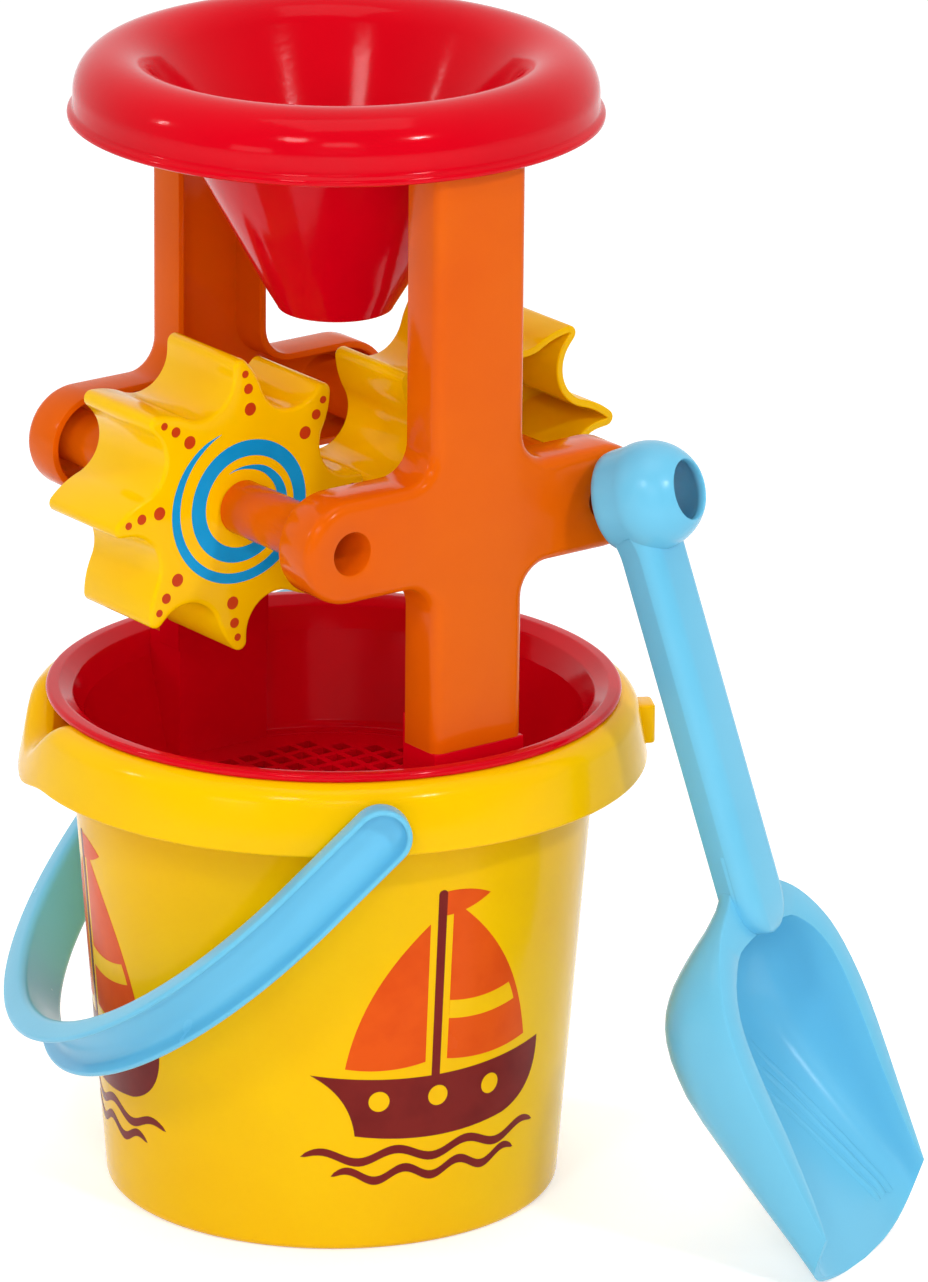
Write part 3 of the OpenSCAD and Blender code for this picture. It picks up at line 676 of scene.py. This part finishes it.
def wheel_outline(g):
    """Outline of a wheel drawn in by g, anticlockwise, with the same point count for every g."""
    step = math.radians(360 / BLADES)
    lean = math.radians(FLANK_ANGLE)
    notch = Vector(NOTCH_AT)
    flank = notch + Vector((math.cos(lean), math.sin(lean))) * (NOTCH_R + FLANK_R)
    back = spin(flank, -step)
    face = notch.y - NOTCH_R
    # the blade ends in a small round between its straight face and its round back
    has_tip = g < BLADE_TIP_R - BLADE_TIP_LEAST
    drawn = BLADE_TIP_R if has_tip else g
    reach = FLANK_R - drawn
    tip_y = face - drawn
    tip = Vector((back.x + math.sqrt(reach * reach - (tip_y - back.y) ** 2), tip_y))
    if has_tip:
        start = math.atan2(tip.y - back.y, tip.x - back.x)
        part = arc(tip, BLADE_TIP_R - g, start, math.pi / 2, TIP_STEPS)
    else:
        part = [tip.copy() for k in range(TIP_STEPS + 1)]
    tip_end, face_end = part[-1], Vector((notch.x, face - g))
    part += [tip_end.lerp(face_end, k / FACE_STEPS) for k in range(1, FACE_STEPS)]
    part += arc(notch, NOTCH_R + g, -math.pi / 2, lean - 2 * math.pi, NOTCH_STEPS)
    next_tip = spin(tip, step) - flank
    flank_end = math.atan2(next_tip.y, next_tip.x)
    part += arc(flank, FLANK_R - g, lean - math.pi, flank_end, FLANK_STEPS)[1:-1]
    return [spin(p, step * i) for i in range(BLADES) for p in part]


def wheel_place(x, turn, back):
    """Local (x, y, z) of a wheel to the frame: z runs from its open side to its closed face."""
    upright = rot("Z", 180 if back else 0) @ move(0, WHEEL_W / 2, 0) @ rot("X", 90)
    return move(x, 0, AXLE_Z) @ upright @ rot("Z", turn)


def edges_at(bm, place, z):
    """Boundary edges of the mesh that lie at a local height."""
    local = place.inverted()
    return [e for e in bm.edges
            if e.is_boundary and all(abs((local @ v.co).z - z) < SAME_HEIGHT for v in e.verts)]


def make_wheel(side, x, turn, back):
    place = wheel_place(x, turn, back)
    bm = bmesh.new()
    soft = [(d, WHEEL_W - h) for d, h in reversed(quarter_round(WHEEL_SOFT, WHEEL_SOFT_STEPS))]
    outer = loft(bm, [(wheel_outline(d), h) for d, h in WHEEL_OPEN_EDGE + soft], place, shut=False)
    inner = loft(bm, [(wheel_outline(d), h) for d, h in WHEEL_INSIDE], place, shut=False)
    skin(bm, [inner[0], outer[0]])
    loft(bm, [(circle(r), h) for r, h in HUB], place, shut=False)
    bmesh.ops.remove_doubles(bm, verts=bm.verts, dist=MERGE)
    for z in (WHEEL_W, WHEEL_INNER_Z):
        fill(bm, edges_at(bm, place, z))
    finish_mesh("wheel_%s_shell" % side, bm, YELLOW, "wheel_" + side,
                replaced=(side + "_wheel",))


# Funnel

RIM_MIDDLE = (62, 324)
RIM_OUTER_R = 12.0
RIM_INNER_R = 9.8
RIM_STEPS = 30
# bead along the rim's outer edge: radius, height
RIM_BEAD = (
    (74.0, 320.4), (74.12, 319.9), (74.45, 319.45), (75.1, 319.05), (75.5, 318.6), (75.6, 318.0),
    (75.5, 317.4), (75.1, 317.06), (74.6, 317.0), (72.3, 317.0), (71.9, 317.2), (71.8, 317.7))
CONE_ANGLE = 28.4
CONE_LOW_Z = 260.9
CONE_STEPS = 8
CONE_END_R = 1.12
CONE_END_RISE = 0.9
CONE_END_ANGLES = (-10, -170)
FUNNEL_SIDES = 200
# pad under the rim on a column's top, seen from above: distance from the middle, across, rounding
PAD_OUTLINE = ((58.4, -10, 0.6), (66.2, -10, 0.6), (66.2, 10, 0.6), (58.4, 10, 0.6))
PAD_HIGH = 7.3
PAD_GAP = 0.02
PAD_EDGE = 0.4


def make_funnel():
    bm = bmesh.new()
    slant = math.radians(CONE_ANGLE)
    over = arc(Vector(RIM_MIDDLE), RIM_OUTER_R, math.pi - slant, 0, RIM_STEPS)
    under = arc(Vector(RIM_MIDDLE), RIM_INNER_R, 0, math.pi - slant, RIM_STEPS)

    def cone_end(top):
        return Vector((top.x - math.tan(slant) * (top.y - CONE_LOW_Z), CONE_LOW_Z))
    end_in, end_out = cone_end(over[0]), cone_end(under[-1])
    outline = [end_in.lerp(over[0], k / CONE_STEPS) for k in range(1, CONE_STEPS)]
    outline += over + [Vector(p) for p in RIM_BEAD] + under
    outline += [under[-1].lerp(end_out, k / CONE_STEPS) for k in range(1, CONE_STEPS)]
    # rounded lower end
    middle = (end_in + end_out) / 2 + Vector((0, CONE_END_RISE))
    outline += arc(middle, CONE_END_R, *map(math.radians, CONE_END_ANGLES), CONE_STEPS)
    lathe(bm, outline, FUNNEL_SIDES)
    for side in (-90, 90):
        place = rot("Z", side) @ move(0, 0, COL_TOP_Z + PAD_GAP)
        prism(bm, rounded(PAD_OUTLINE, steps=3), PAD_HIGH, place, PAD_EDGE)
    finish_mesh("funnel_shell", bm, RED, "funnel", replaced=("funnel",))


# Shovel

BALL_AT = (47.0, -85.6, 218.433)
SHOVEL_TURN = 25.4
SHOVEL_LEAN = -17.5
SHOVEL_ROLL = -1.7
SHOVEL = move(*BALL_AT) @ rot("Z", SHOVEL_TURN) @ rot("X", SHOVEL_LEAN) @ rot("Y", SHOVEL_ROLL)
SCOOP_AT = (0, 3.8, -121)
SCOOP_TILT = -7.5
SCOOP = SHOVEL @ move(*SCOOP_AT) @ rot("X", SCOOP_TILT)
SHOVEL_SMOOTH_ANGLE = 40.0
# along the scoop from its neck: half width of the rim, outer depth, half width and depth of the hollow
RIM_HALF = (
    (-9, 8.2), (-6.5, 9.2), (-4, 12), (-1, 17.8), (3, 23.8), (7, 28), (12, 32), (20, 36.2), (30, 38.4),
    (40, 39.1), (52, 38.3), (63, 36.9), (75, 35.3), (87, 33.8), (92, 33.1), (109, 32))
OUT_DEPTH = (
    (-9, 5.7), (-4, 6.9), (0, 9.5), (4, 14.5), (8, 19.5), (14, 25.8), (22, 30.5), (31, 32.2), (40, 31.5),
    (60, 25.4), (85, 17.3), (107.5, 10.6), (109, 10.2))
HOLLOW_HALF = (
    (8, 0), (8.3, 8), (9.5, 16), (13.5, 22), (20, 27.5), (30, 31), (40, 31.4), (52, 31), (60, 30.4),
    (75, 30.3), (88, 31.2), (92, 31.8), (109, 31))
HOLLOW_DEPTH = (
    (8, 0), (8.3, 4), (9.5, 10), (13.5, 19), (20, 26), (31, 29.8), (40, 29.1), (60, 23), (85, 14.9),
    (98, 11.1), (107.5, 10.25), (109, 9.9))
# powers of the sections' rounding: 2 is an ellipse, and more is squarer
SQUARENESS = ((-9, 3.2), (31, 3.2), (107.5, 5.5), (109, 5.5))
HOLLOW_SQUARENESS = 4.6
RIM_EDGE = 0.7
HOLLOW_EDGE = -0.4
EDGE_SHARE = 0.3
LEAST_HALF = 0.5
ACROSS = 48
SECTION_POINTS = ACROSS + 5
# places along the scoop of its rows of points, and how the last rows share the way to the front edge
OUTER_ROWS = (-9, -7, -5, -3, -1, 1, 3, 5, 7, 9, 12, 15, 18, 22, 26, 31, 36, 42, 50, 60, 70, 80)
INNER_ROWS = (8, 8.1, 8.3, 8.8, 9.5, 11, 13.5, 16.5, 20, 25, 31, 36, 42, 50, 60, 70, 80)
FRONT_SHARES = (0.2, 0.4, 0.6, 0.8, 0.9, 1.0)
FRONT_LEN = 107.5
FRONT_BOW = 4.6
FRONT_HALF = 31.3
FRONT_DEPTH = 10.4
FRONT_FIRST_GUESS = 100.0
FRONT_TRIES = 24
# ribs on the floor: place across and along, at the upper and at the lower end
RIBS = (((15.4, 38), (26.0, 97)), ((12.0, 45), (23.0, 96.5)), ((7.6, 52), (19.4, 97)))
# section of a rib: place across, share of its height
RIB_SECTION = ((-1.5, 0), (-0.9, 0.7), (-0.4, 1), (0.4, 1), (0.9, 0.7), (1.5, 0))
RIB_SUNK = 0.3
RIB_STEPS = 24
RIB_RISE = 3
RIB_FALL = 12
RIB_END_SHARE = 0.15
# side of the grip from its seam round the open back: how far in, depth, rounding, steps
GRIP_SIDE = (
    (0, 3.0, 0.25, 2), (2.0, 10.1, 0.8, 3), (3.9, 10.1, 0.6, 3), (2.4, 3.0, 0.4, 2), (3.2, -0.3, 2.4, 4))
GRIP_FRONT = (0.1, -2.5, 5.1, 8)
GRIP_HALF = 10.3
GRIP_END = 119.0
GRIP_STEPS = 12
# the grip widens into the ball along these rows
FLARE_R = 14.0
FLARE_END = 16.5
FLARE_ROWS = (8.65, 9.3, 10, 11, 12, 13, 14, 15.2, FLARE_END)
# half section of the ball end, from the hanging hole over the dome and the band, back by the hollow
BALL_HOLE = ((8.4, -10.9), (8.4, -12.0), (8.46, -12.5), (8.75, -12.78))
DOME_R = 15.6
DOME_ANGLES = (-53.5, 11.1)
DOME_STEPS = 22
BALL_BAND = (
    (15.1, 3.12), (15.02, 3.5), (14.45, 8.3), (14.2, 9.9), (13.8, 11.1), (13.3, 11.5), (12.4, 11.5),
    (12.1, 11.2), (12.3, 9.0), (13.0, 3.0))
CAVITY_R = 13.4
CAVITY_ANGLES = (0, -48.5)
CAVITY_STEPS = 12
BALL_HOLE_IN = (8.6, -10.6)
BALL_SIDES = 72
# tongue of the grip, which ends in a round on the scoop
TONGUE_START = 104.0
TONGUE_BEND = 120.0
TONGUE_HALF = 10.2
TONGUE_FRONT = -2.46
TONGUE_BACK = 4.4
TONGUE_DROP = 2.6
TONGUE_ROUND = 5.0
TONGUE_ROUND_SHARE = 0.5
TONGUE_ROUND_STEPS = 8
TONGUE_STRAIGHT_ROWS = 4
TONGUE_END_ROWS = 12
TONGUE_END_SHARE = 0.995


def scoop_section(s, inside):
    """Points (x, y) across the scoop at s, from one rim edge round the bottom to the other."""
    if inside:
        w, d, n, edge = curve(HOLLOW_HALF, s), curve(HOLLOW_DEPTH, s), HOLLOW_SQUARENESS, HOLLOW_EDGE
    else:
        w, d, n, edge = curve(RIM_HALF, s), curve(OUT_DEPTH, s), curve(SQUARENESS, s), RIM_EDGE
    if w < LEAST_HALF:
        return [(0.0, 0.0)] * SECTION_POINTS
    lift = min(abs(edge), EDGE_SHARE * d)
    pts = [(w - edge, 0.0), (w - EDGE_SHARE * edge, EDGE_SHARE * lift), (w, lift)]
    for k in range(1, ACROSS):
        t = math.pi * k / ACROSS
        c, q = math.cos(t), math.sin(t)
        pts.append((math.copysign(abs(c) ** (2 / n), c) * w, q ** (2 / n) * d))
    return pts + mirrored(pts[:3])


def scoop_front(column, inside):
    """Where the slanted, slightly bowed front edge cuts a lengthwise line of the scoop."""
    s = FRONT_FIRST_GUESS
    for k in range(FRONT_TRIES):
        x, y = scoop_section(s, inside)[column]
        s = FRONT_LEN - FRONT_BOW * (x / FRONT_HALF) ** 2 - (FRONT_DEPTH - y)
    return s


def scoop_rows(bm, places, inside):
    """Rows of vertices along the scoop; the last rows draw together onto the front edge."""
    last = places[-1]
    ends = [scoop_front(k, inside) for k in range(SECTION_POINTS)]
    rows = [[s] * SECTION_POINTS for s in places]
    rows += [[last + (end - last) * share for end in ends] for share in FRONT_SHARES]
    return [[bm.verts.new(SCOOP @ Vector((*scoop_section(s, inside)[k], -s))) for k, s in enumerate(row)]
            for row in rows]


def make_rib(bm, upper, lower):
    """Rib along the scoop's floor, low at its upper end."""
    rows = []
    for k in range(RIB_STEPS + 1):
        u = k / RIB_STEPS
        x, s = (a + (b - a) * u for a, b in zip(upper, lower))
        w, d, n = curve(HOLLOW_HALF, s), curve(HOLLOW_DEPTH, s), HOLLOW_SQUARENESS
        foot = d * (1 - abs(x / w) ** n) ** (1 / n) + RIB_SUNK
        high = min(1.0, u * RIB_RISE) * min(1.0, (1 - u) * RIB_FALL + RIB_END_SHARE) + RIB_SUNK
        rows.append([bm.verts.new(SCOOP @ Vector((x + px, foot - py * high, -s))) for px, py in RIB_SECTION])
    closed_skin(bm, rows)


def make_scoop(bm):
    outer = scoop_rows(bm, OUTER_ROWS, False)
    inner = scoop_rows(bm, INNER_ROWS, True)
    for rows in (outer, inner, [outer[-1], inner[-1]]):
        skin(bm, rows, closed=False)
    bm.faces.new(outer[0])
    bmesh.ops.remove_doubles(bm, verts=bm.verts, dist=MERGE)
    fill(bm, [e for e in bm.edges if e.is_boundary])
    for upper, lower in RIBS:
        make_rib(bm, upper, lower)


def make_ball(bm):
    """A dome in front of the seam, a short tapering band behind it, and the hanging hole."""
    centre = Vector((0, 0))
    dome = arc(centre, DOME_R, *map(math.radians, DOME_ANGLES), DOME_STEPS)
    cavity = arc(centre, CAVITY_R, *map(math.radians, CAVITY_ANGLES), CAVITY_STEPS)
    outline = [*BALL_HOLE, *dome, *BALL_BAND, *cavity, BALL_HOLE_IN]
    lathe(bm, outline, BALL_SIDES, SHOVEL @ rot("X", -90))


def grip_section(w):
    """Section of the grip: round in front, a seam edge at its widest, drawn in and open behind."""
    right = [(w - d, y, r, n) for d, y, r, n in GRIP_SIDE]
    front = [(w - GRIP_FRONT[0], *GRIP_FRONT[1:])]
    return rounded(right + mirrored(right) + mirrored(front) + front)


def make_grip(bm):
    sides = []
    for z in FLARE_ROWS:
        sides.append((GRIP_HALF + FLARE_R - math.sqrt(FLARE_R * FLARE_R - (FLARE_END - z) ** 2), z))
    for k in range(1, GRIP_STEPS + 1):
        sides.append((GRIP_HALF, FLARE_END + (GRIP_END - FLARE_END) * k / GRIP_STEPS))
    loft(bm, [(grip_section(w), -z) for w, z in sides], SHOVEL)


def make_tongue(bm):
    rings = []
    for k in range(TONGUE_STRAIGHT_ROWS + TONGUE_END_ROWS + 1):
        straight = min(1.0, k / TONGUE_STRAIGHT_ROWS)
        u = max(0.0, min(TONGUE_END_SHARE, (k - TONGUE_STRAIGHT_ROWS) / TONGUE_END_ROWS))
        z = TONGUE_START + (TONGUE_BEND - TONGUE_START) * straight + TONGUE_HALF * u
        narrow = math.sqrt(1 - u * u)
        w = TONGUE_HALF * narrow
        front = TONGUE_FRONT + TONGUE_DROP * (1 - narrow)
        soft = min(TONGUE_ROUND, w * TONGUE_ROUND_SHARE)
        right = [(w, TONGUE_BACK, 0), (w, front, soft, TONGUE_ROUND_STEPS)]
        rings.append((rounded(right + mirrored(right)), -z))
    loft(bm, rings, SHOVEL)


def make_shovel():
    bm = bmesh.new()
    make_scoop(bm)
    make_ball(bm)
    make_grip(bm)
    make_tongue(bm)
    finish_mesh("shovel_body", bm, BLUE, "shovel", SHOVEL_SMOOTH_ANGLE, replaced=("shovel",))


# Printed patterns on the wheels

PRINT_SUNK = 0.3
WHEEL_PRINT_LOW = WHEEL_W - PRINT_SUNK
WHEEL_PRINT_TOP = WHEEL_W + 0.06
# along the swirl, clockwise: angle, radius of its middle, width
SWIRL = (
    (-112, 11.0, 0.05), (-80, 11.3, 1.0), (-45, 12.6, 2.2), (0, 14.0, 3.3), (90, 14.1, 4.3),
    (180, 14.6, 4.8), (270, 16.6, 4.7), (360, 20.0, 4.2), (450, 20.8, 3.0), (540, 22.3, 2.8),
    (590, 23.0, 1.6), (613, 23.2, 0.05))
SWIRL_STEPS = 180
# along a blade: place outwards, place across, radius
DOTS = ((28.0, -2.2, 1.9), (34.0, -1.4, 1.5), (38.4, -0.2, 1.1))
DOT_SIDES = 28


def thin_sheet(bm, outline, top, under, place):
    """Flat print of an outline, closed, its top at one local height and its underside inside the wall."""
    closed_skin(bm, [[bm.verts.new(place(p, h)) for p in outline] for h in (under, top)])


def make_swirl(side, x, back):
    """A plain swirl round the hub, on the closed face."""
    place = wheel_place(x, 0, back)
    radii = [(a, r) for a, r, w in SWIRL]
    widths = [(a, w) for a, r, w in SWIRL]
    first, last = SWIRL[0][0], SWIRL[-1][0]
    bm = bmesh.new()
    rows = []
    for k in range(SWIRL_STEPS + 1):
        a = first + (last - first) * k / SWIRL_STEPS
        r, w = curve(radii, a), curve(widths, a)
        d = Vector((math.cos(math.radians(-a)), math.sin(math.radians(-a)), 0))
        near, far = d * (r - w / 2), d * (r + w / 2)
        low, top = Vector((0, 0, WHEEL_PRINT_LOW)), Vector((0, 0, WHEEL_PRINT_TOP))
        rows.append([bm.verts.new(place @ p) for p in (near + low, near + top, far + top, far + low)])
    closed_skin(bm, rows)
    finish_mesh("wheel_%s_swirl" % side, bm, BLUE_INK, "wheel_" + side)


def make_dots(side, x, turn, back):
    """A row of dots along each blade, on the closed face."""
    bm = bmesh.new()
    for i in range(BLADES):
        place = wheel_place(x, turn + 360 / BLADES * i, back)
        for u, v, r in DOTS:
            thin_sheet(bm, circle(r, DOT_SIDES), WHEEL_PRINT_TOP, WHEEL_PRINT_LOW,
                       lambda p, h: place @ Vector((u + p.x, v + p.y, h)))
    finish_mesh("wheel_%s_dots" % side, bm, DOT_INK, "wheel_" + side)


# Printed boats on the bucket

BOAT_ANGLES = (-101.0, 157.0)
BOAT_Z = 66.0
BOAT_BEND_R = 70.3
BOAT_TOP = 0.07
BOAT_OVERPRINT_TOP = 0.13
BOAT_CUTS = 18
BOAT_CUT_STEP = 2.4
BOAT_CUT_SHIFT = 0.03
# corners about the middle of the print: x, y, then how far the next side swells and its steps
HULL = ((-37, -11, -3, 16), (-24, -30, 2, 16), (25, -30, 5, 16), (39, -10, -2.5, 24))
MAIN_SAIL = ((3.4, -8.5, 1.5, 16), (32, -7.5, 5, 24), (3.4, 40, 0, 6))
JIB = ((-3.4, -8.5, 0, 6), (-3.4, 34, 4, 24), (-27, -9, 1.2, 16))
FLAG = ((1.2, 43.4, 0, 3), (1.2, 36, 1, 8), (15, 40.6, 1, 8))
STRIPE = ((3.4, 4, 1.2, 16), (26.3, 5, 0.15, 4), (23.9, 10.6, -1.2, 16), (3.4, 9.6, 0, 1))
# corners of the mast: x, y, rounding
MAST = ((-1.3, -13, 0), (1.3, -13, 0), (1.3, 44, 1.2), (-1.3, 44, 1.2))
PORT_R = 3.1
PORT_Y = -19.5
PORTS_X = (-17, 1, 19)
PORT_SIDES = 32
# waves under the boat: y, half length
WAVES = ((-36.5, 40), (-42.5, 31))
WAVE_HIGH = 1.7
WAVE_W = 2.6
WAVE_BENDS = 7
WAVE_STEPS = 60
WAVE_END_POWER = 8
WAVE_LEAST_HALF = 0.02


def bow(a, b, bulge, count):
    """Points of a curve from a to b that swells to its right by bulge."""
    d = (b - a).normalized()
    n = Vector((d.y, -d.x))
    return [a.lerp(b, k / count) + n * (bulge * 4 * (k / count) * (1 - k / count)) for k in range(count)]


def bowed(corners):
    """Closed outline through (x, y, bulge, steps) corners, each side swelling by its bulge."""
    out = []
    for a, b in zip(corners, corners[1:] + corners[:1]):
        out += bow(Vector(a[:2]), Vector(b[:2]), *a[2:])
    return out


def wave(y, half):
    """Closed outline of a wavy band that narrows at its ends."""
    low, high = [], []
    for k in range(WAVE_STEPS + 1):
        u = k / WAVE_STEPS
        mid = Vector((-half + 2 * half * k / WAVE_STEPS, y + WAVE_HIGH * math.sin(u * math.pi * WAVE_BENDS)))
        taper = math.sqrt(max(0.0, 1 - (2 * u - 1) ** WAVE_END_POWER))
        thick = Vector((0, WAVE_W / 2 * taper + WAVE_LEAST_HALF))
        low.append(mid - thick)
        high.append(mid + thick)
    return low + high[::-1]


def boat_shapes():
    """Outlines of a small sailing boat on two waves, by name, ink, slot and height of the print."""
    dark = [bowed(HULL), rounded(MAST, steps=3)] + [wave(y, half) for y, half in WAVES]
    sails = [bowed(MAIN_SAIL), bowed(JIB), bowed(FLAG)]
    ports = [[p + Vector((x, PORT_Y)) for p in circle(PORT_R, PORT_SIDES)] for x in PORTS_X]
    return (("maroon", MAROON_INK, "orange", BOAT_TOP, dark),
            ("orange", ORANGE_INK, "orange", BOAT_TOP, sails),
            ("yellow", YELLOW_INK, "yellow", BOAT_OVERPRINT_TOP, [bowed(STRIPE)] + ports))


def wrap_on_bucket(bm, angle):
    """Bends a flat print onto the bucket's wall, with upright cuts that let it follow the round."""
    for k in range(-BOAT_CUTS, BOAT_CUTS + 1):
        everything = bm.verts[:] + bm.edges[:] + bm.faces[:]
        bmesh.ops.bisect_plane(bm, geom=everything, dist=SLIVER, plane_no=(1, 0, 0),
                               plane_co=(k * BOAT_CUT_STEP + BOAT_CUT_SHIFT, 0, 0))
    for v in bm.verts:
        z = BOAT_Z + v.co.y
        r = FOOT_R + (SHOULDER_R - FOOT_R) * z / SHOULDER_Z + v.co.z
        a = math.radians(angle) + v.co.x / BOAT_BEND_R
        v.co = Vector((r * math.cos(a), r * math.sin(a), z))


def make_bucket_prints():
    for number, angle in enumerate(BOAT_ANGLES, 1):
        for name, paint, slot, top, shapes in boat_shapes():
            bm = bmesh.new()
            for outline in shapes:
                thin_sheet(bm, outline, top, -PRINT_SUNK, lambda p, h: Vector((p.x, p.y, h)))
            wrap_on_bucket(bm, angle)
            finish_mesh("bucket_print_%d_%s" % (number, name), bm, paint, "bucket")


# Camera

PHOTO_W = 928
PHOTO_H = 1282
FOCAL_PX = 9644.0
AIM_PX = (334.0, 612.0)
AIM_Z = 0.17
SENSOR = 36.0
CAMERA_AZIMUTH = -36.0
CAMERA_ELEVATION = 18.45
CAMERA_DISTANCE = 2.75
CAMERA_ROLL = 0.26
CLIP = (0.1, 30.0)


def look(at, azimuth, elevation, distance):
    """Place of a camera or lamp that looks at a point; azimuth 0 looks along +Y."""
    a, e = math.radians(azimuth), math.radians(elevation)
    back = Vector((math.sin(a) * math.cos(e), -math.cos(a) * math.cos(e), math.sin(e)))
    m = (-back).to_track_quat("-Z", "Y").to_matrix().to_4x4()
    m.translation = at + back * distance
    return m


def make_camera():
    data = bpy.data.cameras.new("camera")
    cam = bpy.data.objects.new("camera", data)
    bpy.context.scene.collection.objects.link(cam)
    data.sensor_width = SENSOR
    data.lens = FOCAL_PX * SENSOR / PHOTO_H
    data.clip_start, data.clip_end = CLIP
    base = look(Vector((0, 0, AIM_Z)), CAMERA_AZIMUTH, CAMERA_ELEVATION, CAMERA_DISTANCE)
    pan = math.degrees(math.atan((PHOTO_W / 2 - AIM_PX[0]) / FOCAL_PX))
    tilt = math.degrees(math.atan((PHOTO_H / 2 - AIM_PX[1]) / FOCAL_PX))
    cam.matrix_world = base @ rot("Y", -pan) @ rot("X", -tilt) @ rot("Z", CAMERA_ROLL)
    bpy.context.scene.camera = cam


# Floor and light

FLOOR_HALF = 6.0
FLOOR_GREY = 0.86
FLOOR_ROUGH = 0.95
FLOOR_WHITE = 0.44
WORLD_BEHIND = 1.0
WORLD_IN_FRONT = 0.2
WORLD_SPAN = 0.6
LAMP_AIM_Z = 0.16
# azimuth, elevation, distance, width, height, power
LAMPS = {
    "left_box": (-56.0, 40.9, 2.2, 0.32, 0.34, 6.4),
    "right_box": (3.5, 38.8, 2.2, 0.2, 0.13, 10.0),
    "side_box": (-121.0, 28.4, 2.2, 0.1, 0.26, 3.6),
    "front_box": (-34.0, 31.0, 2.4, 0.5, 0.4, 2.4),
    "low_box": (-72.0, 9.0, 2.4, 0.7, 0.5, 2.4),
    "top_box": (-20.0, 82.0, 1.8, 1.0, 1.0, 4.0)}
FILL_LAMP = (CAMERA_AZIMUTH, 17.0, 3.4, 1.4, 1.4, 28.0)


def seen_white(nt, shade, out, strength):
    """Adds white to a shader where it is seen directly, in a reflection or through something clear."""
    path = nt.nodes.new("ShaderNodeLightPath")
    total = path.outputs["Is Camera Ray"]
    for ray in ("Is Glossy Ray", "Is Transmission Ray"):
        more = nt.nodes.new("ShaderNodeMath")
        more.operation = "MAXIMUM"
        nt.links.new(total, more.inputs[0])
        nt.links.new(path.outputs[ray], more.inputs[1])
        total = more.outputs["Value"]
    scale = nt.nodes.new("ShaderNodeMath")
    scale.operation = "MULTIPLY"
    scale.inputs[1].default_value = strength
    nt.links.new(total, scale.inputs[0])
    glow = nt.nodes.new("ShaderNodeEmission")
    glow.inputs["Color"].default_value = (1, 1, 1, 1)
    nt.links.new(scale.outputs["Value"], glow.inputs["Strength"])
    both = nt.nodes.new("ShaderNodeAddShader")
    nt.links.new(shade, both.inputs[0])
    nt.links.new(glow.outputs["Emission"], both.inputs[1])
    nt.links.new(both.outputs["Shader"], out)


def make_floor():
    me = bpy.data.meshes.new("floor")
    bm = bmesh.new()
    bmesh.ops.create_grid(bm, x_segments=1, y_segments=1, size=FLOOR_HALF)
    bm.to_mesh(me)
    bm.free()
    floor = bpy.data.objects.new("floor", me)
    bpy.context.scene.collection.objects.link(floor)
    m = bpy.data.materials.new("floor_pale")
    m.use_nodes = True
    nt = m.node_tree
    bsdf = nt.nodes["Principled BSDF"]
    bsdf.inputs["Base Color"].default_value = (FLOOR_GREY, FLOOR_GREY, FLOOR_GREY, 1)
    bsdf.inputs["Roughness"].default_value = FLOOR_ROUGH
    bsdf.inputs["Specular IOR Level"].default_value = 0.0
    seen_white(nt, bsdf.outputs["BSDF"], nt.nodes["Material Output"].inputs["Surface"], FLOOR_WHITE)
    me.materials.append(m)


def make_world():
    """White room, brightest behind the toy, so that glossy plastic keeps its colour in front."""
    world = bpy.data.worlds.new("studio")
    bpy.context.scene.world = world
    world.use_nodes = True
    nt = world.node_tree
    bg = nt.nodes["Background"]
    bg.inputs["Color"].default_value = (1, 1, 1, 1)
    coord = nt.nodes.new("ShaderNodeTexCoord")
    facing = nt.nodes.new("ShaderNodeVectorMath")
    facing.operation = "DOT_PRODUCT"
    towards = math.radians(CAMERA_AZIMUTH)
    facing.inputs[1].default_value = (math.sin(towards), -math.cos(towards), 0)
    nt.links.new(coord.outputs["Generated"], facing.inputs[0])
    room = nt.nodes.new("ShaderNodeMapRange")
    room.inputs["From Min"].default_value = -WORLD_SPAN
    room.inputs["From Max"].default_value = WORLD_SPAN
    room.inputs["To Min"].default_value = WORLD_BEHIND
    room.inputs["To Max"].default_value = WORLD_IN_FRONT
    nt.links.new(facing.outputs["Value"], room.inputs["Value"])
    nt.links.new(room.outputs["Result"], bg.inputs["Strength"])


def make_lamp(name, azimuth, elevation, distance, width, height, power):
    data = bpy.data.lights.new(name, "AREA")
    data.shape = "RECTANGLE"
    data.size = width
    data.size_y = height
    data.energy = power
    ob = bpy.data.objects.new(name, data)
    bpy.context.scene.collection.objects.link(ob)
    ob.matrix_world = look(Vector((0, 0, LAMP_AIM_Z)), azimuth, elevation, distance)
    return ob


def make_lamps():
    for name, lamp in LAMPS.items():
        make_lamp(name, *lamp)
    # a broad fill reaches into the hollows and leaves no streak of its own
    broad = make_lamp("fill_box", *FILL_LAMP)
    broad.visible_glossy = False
    broad.visible_camera = False


make_camera()
make_floor()
make_world()
make_lamps()
bpy.context.scene.view_settings.view_transform = "Standard"

make_bucket()
make_handle()
make_tray()
make_column("column_front_shell", "front_column", 0, FRONT_BORE)
make_column("column_rear_shell", "rear_column", 180, REAR_BORE)
for side, x, turn, back in WHEELS:
    make_wheel(side, x, turn, back)
make_funnel()
make_shovel()
for side, x, turn, back in WHEELS:
    make_swirl(side, x, back)
    make_dots(side, x, turn, back)
make_bucket_prints()

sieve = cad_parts["sieve_plate"]
sieve.data.materials.clear()
sieve.data.materials.append(RED)
